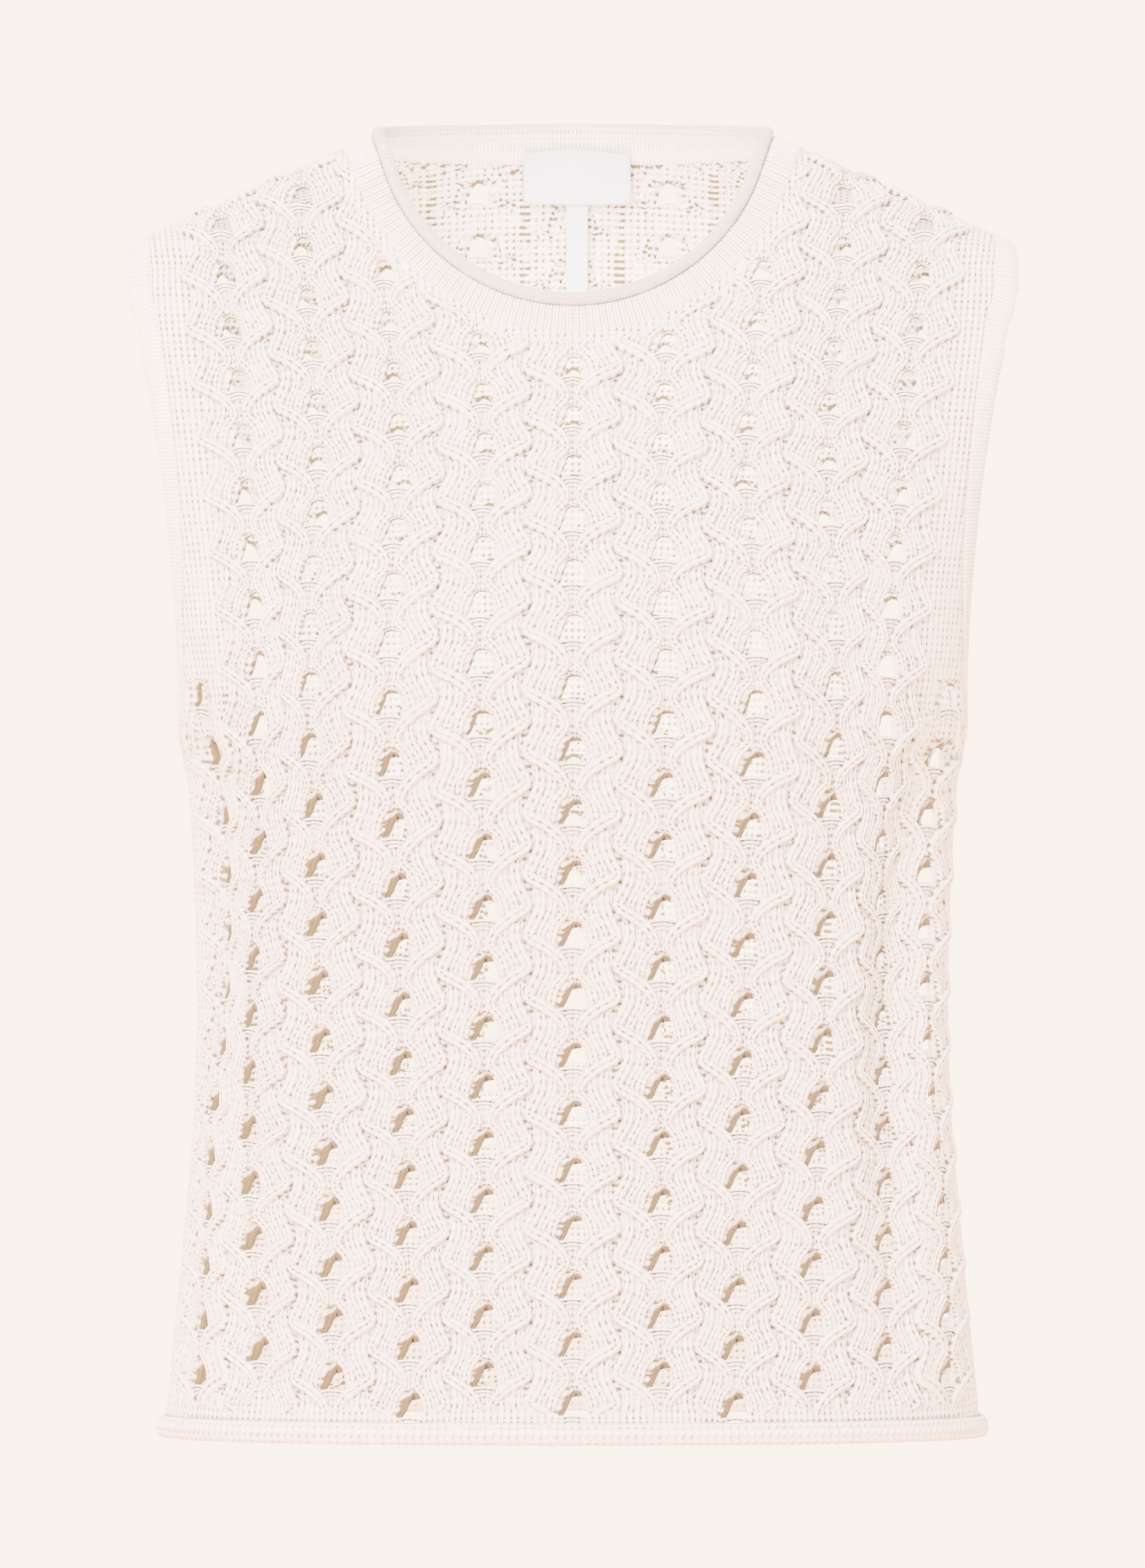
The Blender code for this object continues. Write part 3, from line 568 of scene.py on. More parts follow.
class Edge:
    """A free edge's curve, and places across the band along it."""

    def __init__(self, kind, side, count):
        self.side = side
        if kind == "neck":
            self.points, self.normal = neck_curve(side, count)
            self.near_ridge, self.near_seam = near_end(count, False), np.zeros(count)
        else:
            self.points, self.normal = armhole_curve(side, count)
            self.near_ridge, self.near_seam = near_end(count, True), near_end(count, False)
        self.x = surface(self.points[:, 0], self.points[:, 1], side)[:, 0]
        self.ridge = ridge_b(self.points[:, 0], side)
        self.seam = section_length(self.points[:, 1], side)

    def strip(self, distance):
        moved = self.points + self.normal * distance[:, None]
        x = self.x + self.normal[:, 0] * distance
        moved[:, 0] += (ridge_place(x, self.side) - moved[:, 0]) * self.near_ridge
        moved[:, 1] += (ridge_b(moved[:, 0], self.side) - self.ridge) * self.near_ridge
        moved[:, 0] += (section_length(moved[:, 1], self.side) - self.seam) * self.near_seam
        return moved


def outline(side):
    """Closed outline of a panel in cloth coordinates."""
    columns = np.arange(0, SEAM_COLUMN, 0.25)
    hem_b = hem_drop(columns)
    hem = np.stack([column_place(columns, hem_b, side), hem_b], axis=1)
    arm_edge = Edge("armhole", side, 80)
    arm = arm_edge.strip(np.full(80, ARMBAND_WIDTH - 0.8))[::-1]
    seam_b = np.linspace(HEM_DROP + HEM_SIDE_DIP, arm[0, 1] + 2, 60)
    seam = np.stack([section_length(seam_b, side), seam_b], axis=1)
    neck, _ = neck_curve(side, 60)
    shoulder_s = np.linspace(arm[-1, 0], neck[-1, 0], 20)[1:-1]
    shoulder = np.stack([shoulder_s, ridge_b(shoulder_s, side)], axis=1)
    half = np.concatenate([hem[1:], seam, arm[1:], shoulder, neck[::-1][:-1]])
    return np.concatenate([hem[:1], half, neck[:1], half[::-1] * np.array([-1.0, 1.0])])


class Outline:
    """Tells how far inside a panel's outline a point lies, and where its nearest edge is."""

    def __init__(self, side):
        self.corners = outline(side)
        self.next = np.roll(self.corners, -1, axis=0)

    def nearest(self, points):
        edge = self.next - self.corners
        best = np.full(len(points), 1e9)
        place = np.zeros_like(points)
        crossings = np.zeros(len(points), int)
        for start, end, run in zip(self.corners, self.next, edge):
            t = np.clip(((points - start) @ run) / max(run @ run, 1e-9), 0, 1)
            here = start + t[:, None] * run
            distance = np.linalg.norm(points - here, axis=1)
            closer = distance < best
            best[closer], place[closer] = distance[closer], here[closer]
            if start[1] != end[1]:
                spans = (start[1] > points[:, 1]) != (end[1] > points[:, 1])
                at = start[0] + (points[:, 1] - start[1]) * run[0] / run[1]
                crossings += spans & (points[:, 0] < at)
        inside = crossings % 2 == 1
        return np.where(inside, best, -best), place


OUTLINES = {side: Outline(side) for side in (FRONT, BACK)}


USUAL_HALF_COLUMN = 13.5    # half the width of a column that isn't drawn together
SHOULDER_SHRINK = 0.18      # holes near the shoulders are smaller by this share


def cabled(a, b):
    """Whether the cables reach this column at this drop."""
    high = np.abs(a) <= HIGH_COLUMNS + 0.01
    return high | ((np.abs(a) <= RAISED_COLUMNS + 0.01) & (b > SHORT_COLUMN_DROP))


def room_beside(cloth, keys, hand):
    """Share of the usual width that a hole has on one hand of its middle."""
    half = cloth.pattern(keys[:, 0] + hand * 0.5, keys[:, 1]) - cloth.pattern(keys[:, 0], keys[:, 1])
    return np.clip(np.abs(half[:, 0]) / USUAL_HALF_COLUMN, 0.5, 1.0)


def hole_places(side):
    """Column, row, s, b, lean of the column and room on both hands, for every hole."""
    found = []
    for k in range(-RAISED_COLUMNS, RAISED_COLUMNS + 1):
        for j in range(0, 46):
            if (k + j) % 2 == 0:
                found.append((k, j))
    kj = np.array(found, float)
    cloth = CLOTHS[side]
    here = cloth.pattern(kj[:, 0], kj[:, 1])
    down = cloth.pattern(kj[:, 0], kj[:, 1] - 0.4) - cloth.pattern(kj[:, 0], kj[:, 1] + 0.4)
    lean = down[:, 0] / down[:, 1]
    depth, _ = OUTLINES[side].nearest(here)
    keep = cabled(kj[:, 0], here[:, 1]) & (depth > 7.0)
    size = 1 - SHOULDER_SHRINK * ease((190.0 - here[:, 1]) / 100.0)
    room = [room_beside(cloth, kj, hand) * size for hand in (-1, 1)]
    return np.column_stack([kj, here, lean, *room, size])[keep]


# ---------------------------------------------------------------- modelling helpers


def smooth(mesh, angle=60):
    mesh.shade_smooth()
    mesh.set_sharp_from_angle(angle=math.radians(angle))


def piece_from(name, mesh, material, nodes=()):
    """Adds a mesh to the scene as a piece that stands for CAD nodes."""
    piece = bpy.data.objects.new(name, mesh)
    bpy.context.scene.collection.objects.link(piece)
    mesh.materials.append(material)
    smooth(mesh)
    if nodes:
        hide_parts(*nodes)
    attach(piece, "root")
    return piece


def coordinates(mesh):
    flat = np.zeros(len(mesh.vertices) * 3)
    mesh.vertices.foreach_get("co", flat)
    return flat.reshape(-1, 3)


def set_coordinates(mesh, places):
    mesh.vertices.foreach_set("co", np.asarray(places, np.float32).ravel())
    mesh.update()


def corner_vertices(mesh):
    corners = np.zeros(len(mesh.loops), int)
    mesh.loops.foreach_get("vertex_index", corners)
    return corners


def set_stitches(mesh, u, v, wrap_u=None, wrap_v=None):
    """Writes the UV map that the stitches follow, closing it round rings."""
    corners = corner_vertices(mesh)
    uv = np.stack([u[corners], v[corners]], axis=1)
    sizes = np.zeros(len(mesh.polygons), int)
    mesh.polygons.foreach_get("loop_total", sizes)
    face = np.repeat(np.arange(len(sizes)), sizes)
    for axis, wrap in enumerate((wrap_u, wrap_v)):
        if wrap is None:
            continue
        highest = np.full(len(sizes), -1e9)
        np.maximum.at(highest, face, uv[:, axis])
        low = highest[face] - uv[:, axis] > wrap / 2
        uv[low, axis] += wrap
    layer = mesh.uv_layers.new(name="stitches")
    layer.data.foreach_set("uv", uv.astype(np.float32).ravel())


def set_gap_shade(mesh, values):
    """Writes the attribute of painted shade that darkens gaps: 0 on open knit, 1 in a crevice, above 1 a
    solid painted shadow.
    """
    layer = mesh.attributes.new("gap_shade", "FLOAT", "POINT")
    layer.data.foreach_set("value", np.asarray(values, np.float32))


def mesh_from(name, made):
    """Turns a bmesh into a mesh of its own."""
    mesh = bpy.data.meshes.new(name)
    made.to_mesh(mesh)
    made.free()
    return mesh


def tube_template(name, around, rings):
    """A closed tube along Z with its rings one apart; returns the mesh and its indices."""
    made = bmesh.new()
    bmesh.ops.create_cone(made, cap_ends=True, cap_tris=False, segments=around,
                          radius1=1, radius2=1, depth=rings - 1)
    bmesh.ops.translate(made, verts=made.verts, vec=Vector((0, 0, (rings - 1) / 2)))
    upright = [e for e in made.edges if abs(e.verts[0].co.z - e.verts[1].co.z) > 0.5]
    bmesh.ops.subdivide_edges(made, edges=upright, cuts=rings - 2, use_grid_fill=True)
    mesh = mesh_from(name, made)
    places = coordinates(mesh)
    turn = np.arctan2(places[:, 1], places[:, 0]) / (2 * math.pi) * around
    return mesh, np.round(turn).astype(int) % around, np.round(places[:, 2]).astype(int)


def ring_template(name, around, stations):
    """A closed ring; returns the mesh, and each vertex's place round the band and along it."""
    made = bmesh.new()
    bmesh.ops.create_circle(made, cap_ends=False, segments=around, radius=1)
    bmesh.ops.rotate(made, verts=made.verts, cent=(0, 0, 0), matrix=Matrix.Rotation(math.pi / 2, 3, "X"))
    bmesh.ops.translate(made, verts=made.verts, vec=Vector((4, 0, 0)))
    bmesh.ops.spin(made, geom=made.verts[:] + made.edges[:], cent=(0, 0, 0), axis=(0, 0, 1),
                   angle=2 * math.pi, steps=stations, use_merge=True)
    mesh = mesh_from(name, made)
    places = coordinates(mesh)
    angle = np.arctan2(places[:, 1], places[:, 0]) / (2 * math.pi) * stations
    out = np.hypot(places[:, 0], places[:, 1]) - 4
    part = np.arctan2(places[:, 2], out) / (2 * math.pi) * around
    return (mesh, np.round(part).astype(int) % around,
            np.round(angle).astype(int) % stations)


def repeated(name, template, count):
    """A mesh with a number of copies of a template, one after another."""
    made = bmesh.new()
    for _ in range(count):
        made.from_mesh(template)
    return mesh_from(name, made)


def face_out(mesh):
    """Points the faces of closed bodies outwards."""
    made = bmesh.new()
    made.from_mesh(mesh)
    bmesh.ops.recalc_face_normals(made, faces=made.faces[:])
    made.to_mesh(mesh)
    made.free()


# ---------------------------------------------------------------- finishes


class Value:
    """A number socket whose arithmetic adds Math nodes."""

    def __init__(self, finish, socket):
        self.finish = finish
        self.socket = socket

    def math(self, operation, *others):
        return self.finish.math(operation, self, *others)

    def __add__(self, other):
        return self.math("ADD", other)

    def __sub__(self, other):
        return self.math("SUBTRACT", other)

    def __mul__(self, other):
        return self.math("MULTIPLY", other)

    def __truediv__(self, other):
        return self.math("DIVIDE", other)

    def __pow__(self, other):
        return self.math("POWER", other)

    def __rsub__(self, other):
        return self.finish.math("SUBTRACT", other, self)

    __radd__ = __add__
    __rmul__ = __mul__

    def abs(self):
        return self.math("ABSOLUTE")

    def wave(self):
        """Sine of a whole turn for each unit."""
        return (self * (2 * math.pi)).math("SINE")

    def part(self):
        return self.math("FRACT")

    def least(self, other):
        return self.math("MINIMUM", other)

    def most(self, other):
        return self.math("MAXIMUM", other)

    def ramp(self, low, high):
        """From 0 at low to 1 at high, eased."""
        node = self.finish.node("ShaderNodeMapRange", {"interpolation_type": "SMOOTHSTEP"},
                                Value=self, **{"From Min": low, "From Max": high})
        return Value(self.finish, node.outputs["Result"])


class Finish:
    """A material being put together, or the nodes of a tree that is there already."""

    def __init__(self, name, tree=None):
        self.tree = tree
        if tree:
            return
        self.material = bpy.data.materials.new(name)
        self.material.use_nodes = True
        self.tree = self.material.node_tree
        self.tree.nodes.clear()
        self.shader = self.node("ShaderNodeBsdfPrincipled", {})
        self.node("ShaderNodeOutputMaterial", {}, Surface=self.shader.outputs[0])

    def node(self, kind, settings, **sockets):
        made = self.tree.nodes.new(kind)
        for name, value in settings.items():
            setattr(made, name, value)
        for name, value in sockets.items():
            self.put(made.inputs[name], value)
        return made

    def put(self, socket, value):
        if isinstance(value, Value):
            value = value.socket
        if isinstance(value, bpy.types.NodeSocket):
            self.tree.links.new(value, socket)
        elif isinstance(value, tuple) and socket.type == "RGBA":
            socket.default_value = (*value[:3], 1.0)
        else:
            socket.default_value = value

    def math(self, operation, *values):
        made = self.tree.nodes.new("ShaderNodeMath")
        made.operation = operation
        for socket, value in zip(made.inputs, values):
            self.put(socket, value)
        return Value(self, made.outputs[0])

    def mix(self, factor, first, second):
        node = self.tree.nodes.new("ShaderNodeMix")
        node.data_type = "RGBA"
        self.put(node.inputs[0], factor)
        self.put(node.inputs[6], first)
        self.put(node.inputs[7], second)
        return node.outputs[2]

    def stitches(self):
        """The two numbers of the UV map that the knit follows."""
        uv = self.node("ShaderNodeUVMap", {"uv_map": "stitches"})
        parts = self.node("ShaderNodeSeparateXYZ", {}, Vector=uv.outputs[0])
        return Value(self, parts.outputs[0]), Value(self, parts.outputs[1])

    def attribute(self, name):
        node = self.node("ShaderNodeAttribute", {"attribute_name": name})
        return Value(self, node.outputs["Fac"])

    def noise(self, scale, detail=2.0):
        place = self.node("ShaderNodeTexCoord", {})
        node = self.node("ShaderNodeTexNoise", {}, Vector=place.outputs["Object"],
                         Scale=scale, Detail=detail)
        return Value(self, node.outputs[0])

    def bump(self, height, distance):
        node = self.node("ShaderNodeBump", {}, Strength=1.0, Distance=distance, Height=height)
        self.put(self.shader.inputs["Normal"], node.outputs[0])

    def set(self, **constants):
        for name, value in constants.items():
            self.put(self.shader.inputs[name.replace("_", " ")], value)


def plain_stitch(u, v):
    """Height of stocking stitch: a V in each unit of u and v, between grooves."""
    wale = (u * 0.5).wave().abs() ** 0.6
    from_middle = (u.part() - 0.5).abs() * 2.0
    row = (v + from_middle * 0.62).wave() * 0.5 + 0.5
    leg = (from_middle * 1.6).least(1.0)
    return wale * (row * 0.35 + 0.65) * (leg * 0.25 + 0.75)


def purl_stitch(u, v):
    """Height of the wrong side: rows of bumps, each row half a stitch on."""
    shift = u.wave() * 0.22
    row = ((v + shift) * 0.5).wave().abs() ** 0.7
    bump = (u + 0.25).wave() * 0.2 + 0.8
    return row * bump


def rib_stitch(u, v):
    """Height of fine ribs along v, with a light course line."""
    return ((u * 0.5).wave().abs() ** 0.6) * (v.wave() * 0.12 + 0.88)


def yarn_finish(name, pattern, depth, tan=1.0, dot_shade_weight=1.0):
    """Soft matt knit: stitches as relief, painted shade as tan dots between them and in the gaps, a
    painted shadow on the hole lips, a little fuzz.
    """
    made = Finish(name)
    u, v = made.stitches()
    height = pattern(u, v)
    fuzz = made.noise(1500.0, 3.0)
    uneven = made.noise(170.0, 2.0)
    gap_shade = made.attribute("gap_shade")
    # Painted shade: tan dots in the stitch valleys, creases along the gaps, the low parts of the relief,
    # and a solid painted shadow on the hole lips.
    between = (0.5 - (v + 0.62).wave() * 0.5) ** 1.6
    patchy = uneven.ramp(0.34, 0.60)
    groove = (1.0 - (u * 0.5).wave().abs() * 1.15).most(0.0)
    shade_dots = (groove * between * (patchy * 0.95 + 0.25) * dot_shade_weight).least(1.0)
    crease_shade = gap_shade.least(1.0) ** 3.0 * (between * (patchy * 1.1 + 0.1) + 0.04)
    shadow_lip = (gap_shade - 1.0).most(0.0) * 2.5
    shade = (shade_dots + crease_shade + (1.0 - height) * 0.10) * tan + shadow_lip
    yarn = colours().yarn[:]
    made.set(Base_Color=made.mix(shade.least(1.0), yarn, colours().crevice_shade[:]))
    made.set(Roughness=fuzz * 0.15 + 0.78)
    made.set(Sheen_Weight=0.25, Sheen_Roughness=0.5, Specular_IOR_Level=0.2)
    made.bump(height + fuzz * 0.22 + uneven * 0.3, depth)
    return made.material


def woven_finish(name, colour):
    """Fine close weave of the label and ribbon."""
    made = Finish(name)
    u, v = made.stitches()
    warp = (u * 0.5).wave().abs()
    weft = (v * 0.5).wave().abs()
    cell = ((u.math("FLOOR") + v.math("FLOOR")) * 0.5).part() * 2.0
    height = warp * cell + weft * (1.0 - cell)
    # painted shade: the lower threads of the weave are darker
    shade = (1.0 - height) * 0.12
    shaded_colour = tuple(channel * 0.8 for channel in colour)
    made.set(Base_Color=made.mix(shade, tuple(colour), shaded_colour))
    made.set(Roughness=0.55, Sheen_Weight=0.1, Specular_IOR_Level=0.35)
    made.bump(height, 0.00006)
    return made.material


FINISHES = {}


def finish(name):
    """Each finish is made once, when a piece first asks for it."""
    depth = knit().stitch_depth
    # Past the depth, the numbers weigh the painted shade: heavier on the inside, lighter on the bands
    # and roll.
    makers = {
        "panel_knit": lambda: yarn_finish(name, plain_stitch, depth),
        "cable_knit": lambda: yarn_finish(name, plain_stitch, depth),
        "inside_knit": lambda: yarn_finish(name, purl_stitch, depth * 0.7, 1.3, 0.8),
        "band_rib": lambda: yarn_finish(name, rib_stitch, depth * 0.4, 0.8, 0.5),
        "roll_knit": lambda: yarn_finish(name, purl_stitch, depth * 0.8, 0.7, 0.8),
        "label_weave": lambda: woven_finish(name, colours().label[:]),
    }
    if name not in FINISHES:
        FINISHES[name] = makers[name]()
    return FINISHES[name]


# ---------------------------------------------------------------- panels

COLUMN_LINES = (0.0, 0.10, 0.19, 0.30, 0.40)      # in half a column
ROW_LINES = (0.0, 0.2, 0.4, 0.6, 0.8)
LOWEST_ROW = -1.0
HIGHEST_ROW = 46.0
# The lip is a sunk sheet at the left and top of each hole, coloured as a solid painted shadow, wider on
# low holes.
SHADOW_LIP_LOW = 0.95              # how far the shaded lip reaches over a low hole and a high one
SHADOW_LIP_HIGH = 0.16
SHADOW_LIP_START, SHADOW_LIP_RANGE = 215.0, 90.0      # the drop where it starts to widen, and over how far
SHADOW_LIP_SUNK = 1.6              # the lip lies this much lower than the ground
BLOCK = (0.19, 0.40)        # half the cells round a hole, in columns and rows
OUTLINE_EDGE = 0.8          # points nearer the outline than this are drawn to it
OUTLINE_REACH = 9.0         # and faces further outside than this are left out


def column_lines():
    half = [x for k in range(6) for x in
            [k + x for x in COLUMN_LINES] + [k + 0.5] + [k + 1 - x for x in COLUMN_LINES[:0:-1]]]
    half = np.array(half + [6.0])
    return np.concatenate([-half[:0:-1], half])


def row_lines():
    rows = np.arange(LOWEST_ROW, HIGHEST_ROW)
    return np.concatenate([(rows[:, None] + np.array(ROW_LINES)).ravel(), [HIGHEST_ROW]])


def near_hole(a, j):
    """Columns beside and rows below the nearest hole's middle, for each point."""
    k = np.round(a)
    j0 = np.round((j - k) / 2) * 2 + k
    return a - k, j0 - j, k, j0


def ground_height(a, j, depth, b):
    """Height of the ground knit: pillows beside the holes, plain near the edges; and its painted shade,
    stronger where columns meet.
    """
    beside, _, k, _ = near_hole(a, j)
    last = np.where(b < SHORT_COLUMN_DROP, HIGH_COLUMNS, RAISED_COLUMNS) + 0.35
    seam = np.clip(1 - np.abs(np.abs(beside) - 0.5) / 0.11, 0, 1) * (np.abs(a) < last)
    cable = cabled(k, b) * ease((depth - 3.0) / 7.0)
    height = knit().valley / MM * cable + knit().panel_face / MM * (1 - cable)
    # the second value is painted shade over the cabled ground, strongest at the seams between columns
    return height - knit().seam_dip / MM * seam * cable, cable * (0.45 + 0.55 * seam)


def build_panel(name, side):
    cloth, edge = CLOTHS[side], OUTLINES[side]
    columns, rows = column_lines(), row_lines()
    made = bmesh.new()
    bmesh.ops.create_grid(made, x_segments=len(columns) - 1, y_segments=len(rows) - 1, size=1)
    made.verts.ensure_lookup_table()
    flat = np.array([v.co[:2] for v in made.verts])
    col = np.round((flat[:, 0] + 1) / 2 * (len(columns) - 1)).astype(int)
    row = np.round((flat[:, 1] + 1) / 2 * (len(rows) - 1)).astype(int)
    a, j = columns[col], rows[row]
    places = cloth.pattern(a, j)

    # holes: the block of cells round each is taken out, and its rim drawn to an arch
    sizes = knit()
    in_hole = np.zeros(len(a), bool)
    gap_shade = np.zeros(len(a))
    sunk = np.zeros(len(a))
    for k, j0, s0, b0, lean, left, right, size in hole_places(side):
        x, y = a - k, j0 - j
        block = (np.abs(x) < BLOCK[0] + 0.005) & (np.abs(y) < BLOCK[1] + 0.005)
        x, y = x[block] / BLOCK[0], y[block] / BLOCK[1]
        # the lip: a sunk sheet coloured as a solid painted shadow, wider on the front's low holes
        low = ease((b0 - SHADOW_LIP_START) / SHADOW_LIP_RANGE) * (0.8 + 0.07 * abs(k))
        shadow_lip = (SHADOW_LIP_HIGH + (SHADOW_LIP_LOW - SHADOW_LIP_HIGH) * low) * (side == FRONT)
        on_side, on_top = (x > -0.9) & (x < -0.3), (y > -0.9) & (y < -0.3)
        opened = (x > -0.3) & (x < 0.9) & (y > -0.3) & (y < 0.9)
        in_hole[np.flatnonzero(block)[opened]] = True
        within = (np.abs(x) < 0.9) & (np.abs(y) < 0.9)
        sunk[np.flatnonzero(block)[(on_side | on_top) & within]] = SHADOW_LIP_SUNK
        x = np.where(on_side, -0.97 + shadow_lip * (0.42 + 0.5 * (1 - y)), x)
        y = np.where(on_top, -0.97 + shadow_lip * (0.8 - 0.2 * x), y)
        rise = (y + 1) / 2
        foot, top = sizes.hole_foot / MM, sizes.hole_top / MM
        half_left = (top * 0.62 + (foot - top * 0.62) * rise) * left
        half_right = (top * 1.10 + (foot * 0.93 - top * 1.10) * rise) * right
        down = np.where(y > 0, y * sizes.hole_below / MM, y * sizes.hole_above / MM) * size
        down += 1.8 * x**2 * np.clip(-y, 0, 1) ** 2
        places[block, 0] = s0 + x * np.where(x < 0, half_left, half_right) + lean * down
        places[block, 1] = b0 + down
        # painted shade on the rims, darker on the left and top, where light from the upper left leaves
        # them in shade; solid painted shadow on the lip
        shaded = np.where((x < 0.2) | (y < -0.6), 0.7 + 0.4 * shadow_lip, 0.4)
        inner = (on_side | on_top) & (np.abs((a - k)[block]) < 0.17) & (np.abs((j0 - j)[block]) < 0.36)
        gap_shade[block] = np.where(inner, 1.0 + shadow_lip * 1.3, shaded)

    # the outline: points outside it come in to its edge
    depth, closest = edge.nearest(places)
    outside = depth < OUTLINE_EDGE
    wide = depth > -OUTLINE_REACH
    places[outside] = closest[outside]
    doomed = [f for f in made.faces
              if all(outside[v.index] for v in f.verts) or not all(wide[v.index] for v in f.verts)
              or all(in_hole[v.index] or gap_shade[v.index] for v in f.verts)
              and any(in_hole[v.index] for v in f.verts)]
    height, soft_gap_shade = ground_height(a, j, depth, places[:, 1])
    height -= sunk
    world = cloth.at(places[:, 0], places[:, 1], height)
    kept = made.verts.layers.int.new("kept")
    for v, place in zip(made.verts, world):
        v.co = place
        v[kept] = v.index
    bmesh.ops.delete(made, geom=doomed, context="FACES")
    index = np.array([v[kept] for v in made.verts])
    made.verts.layers.int.remove(kept)
    mesh = mesh_from(name, made)
    set_stitches(mesh, a[index] * WALES_PER_COLUMN, -j[index] * COURSES_PER_ROW)
    # painted shade of the rims, the lips and the ground
    set_gap_shade(mesh, np.maximum(gap_shade, soft_gap_shade)[index])
    if side == BACK:
        mesh.flip_normals()
    piece = piece_from(name + "_knit", mesh, finish("panel_knit"), [name])
    mesh.materials.append(finish("inside_knit"))
    shell = piece.modifiers.new("gauge", "SOLIDIFY")
    shell.thickness = knit().panel_gauge
    shell.offset = -1.0
    shell.material_offset = 1
    return piece


class VEST_OT_panels(bpy.types.Operator):
    """Knit the front and the back as shells with open holes"""

    bl_idname = "vest.panels"
    bl_label = "Front and back"

    def execute(self, context):
        for name, side in SIDES.items():
            build_panel(name, side)
        return {"FINISHED"}


# ---------------------------------------------------------------- cables

AROUND = 8
ACROSS = (-1.0, -0.88, -0.5, 0.0, 0.5, 0.88, 1.0, 0.0)       # round a strand's section
BULGE = (0.0, 0.66, 1.0, 0.80, 1.0, 0.66, 0.0, 0.0)
# painted shade round a strand's section, full at its edges on the ground
RIM_SHADE = (1.0, 0.42, 0.0, 0.12, 0.0, 0.42, 1.0, 1.0)
UNDERSIDE = 7
KINDS = {"cables": (STRAND, 23, 19.0, 14.0), "leaves": (LEAF, 12, 9.0, 6.0)}


def strand_keys(side, reach):
    """Column, row and hand of every strand that starts within reach of a panel."""
    found = [(k, j, hand) for k in range(-RAISED_COLUMNS, RAISED_COLUMNS + 1)
             for j in range(-2, 48) if (k + j) % 2 == 0 for hand in (-1, 1)]
    keys = np.array(found, float)
    beside = keys[:, 0] + keys[:, 2] * 0.3
    here = CLOTHS[side].pattern(beside, np.clip(keys[:, 1], -1.5, 48))
    depth, _ = OUTLINES[side].nearest(here)
    return keys[cabled(keys[:, 0], here[:, 1] - 8.0) & (depth > -reach)]


def build_strands(name, side, path, rings, courses, reach):
    """All the strands of one kind on a panel, as one mesh of closed, flattened tubes."""
    cloth, edge = CLOTHS[side], OUTLINES[side]
    template, around, ring = tube_template(name + "_strand", AROUND, rings)
    keys = strand_keys(side, reach)
    lines = table(STRAND_COLUMNS, path)
    at = np.arange(len(path), dtype=float)
    path_t = np.linspace(0, len(path) - 1, rings)
    below, beside, half, low, high = (
        smooth_interp(path_t, at, lines[column]) for column in STRAND_COLUMNS)
    count = len(keys)
    a = (keys[:, 0, None] + keys[:, 2, None] * beside).ravel()
    j = (keys[:, 1, None] - below).ravel()
    centre = cloth.pattern(a, np.clip(j, -1.9, 48.4)).reshape(count, rings, 2)
    slope = np.gradient(centre, axis=1)
    slope /= np.linalg.norm(slope, axis=2)[:, :, None]
    square = np.stack([slope[:, :, 1], -slope[:, :, 0]], axis=2) * keys[:, 2, None, None]
    row = keys[:, 1].clip(-1.5, 48)
    pitch = np.linalg.norm(cloth.pattern(keys[:, 0] + 0.5, row)
                           - cloth.pattern(keys[:, 0] - 0.5, row), axis=1)
    across = np.array(ACROSS)[around]
    offset = across * half[ring]
    s_b = centre[:, ring] + square[:, ring] * (offset * pitch[:, None])[:, :, None]
    height = low[ring] + (high - low)[ring] * np.array(BULGE)[around]
    height = np.where(around == UNDERSIDE, low[ring] - 0.7, height)
    points = s_b.reshape(-1, 2)
    height = np.tile(height, count)
    depth, closest = edge.nearest(points)
    out = depth < 1.0
    points[out] = closest[out]
    fade = ease((depth - 0.5) / 7.0)
    height = 0.9 + (height - 0.9) * fade
    mesh = repeated(name, template, count)
    set_coordinates(mesh, cloth.at(points[:, 0], points[:, 1], height))
    along = ring / (rings - 1)
    shift = np.repeat(np.random.default_rng(7).random(count), len(ring))
    set_stitches(mesh, np.tile(across + 1.0, count), np.tile(along * courses, count) + shift)
    # painted shade along the edges and towards both ends, where the strand meets the ground or goes
    # under
    end = np.minimum(along, 1 - along) * rings
    rim = np.array(RIM_SHADE)[around] + np.clip(1 - end / 2.5, 0, 1)
    set_gap_shade(mesh, np.tile(np.clip(rim, 0, 1), count))
    face_out(mesh)
    bpy.data.meshes.remove(template)
    return piece_from(name, mesh, finish("cable_knit"))


class VEST_OT_cables(bpy.types.Operator):
    """Lay the crossing cable strands over both panels"""

    bl_idname = "vest.cables"
    bl_label = "Cables"

    def execute(self, context):
        for name, side in SIDES.items():
            for kind, (path, rings, courses, reach) in KINDS.items():
                build_strands(name + "_" + kind, side, path, rings, courses, reach)
        return {"FINISHED"}


# ---------------------------------------------------------------- ladder bars

BAR_COLUMNS = ("below", "half_width", "height", "bow")
BARS = (
    (6.6, 6.4, 3.0, -0.9),
    (8.7, 5.8, 2.9, -1.5),
    (10.9, 4.6, 2.8, -1.9),
)
BAR_AROUND = 6
BAR_RINGS = 7


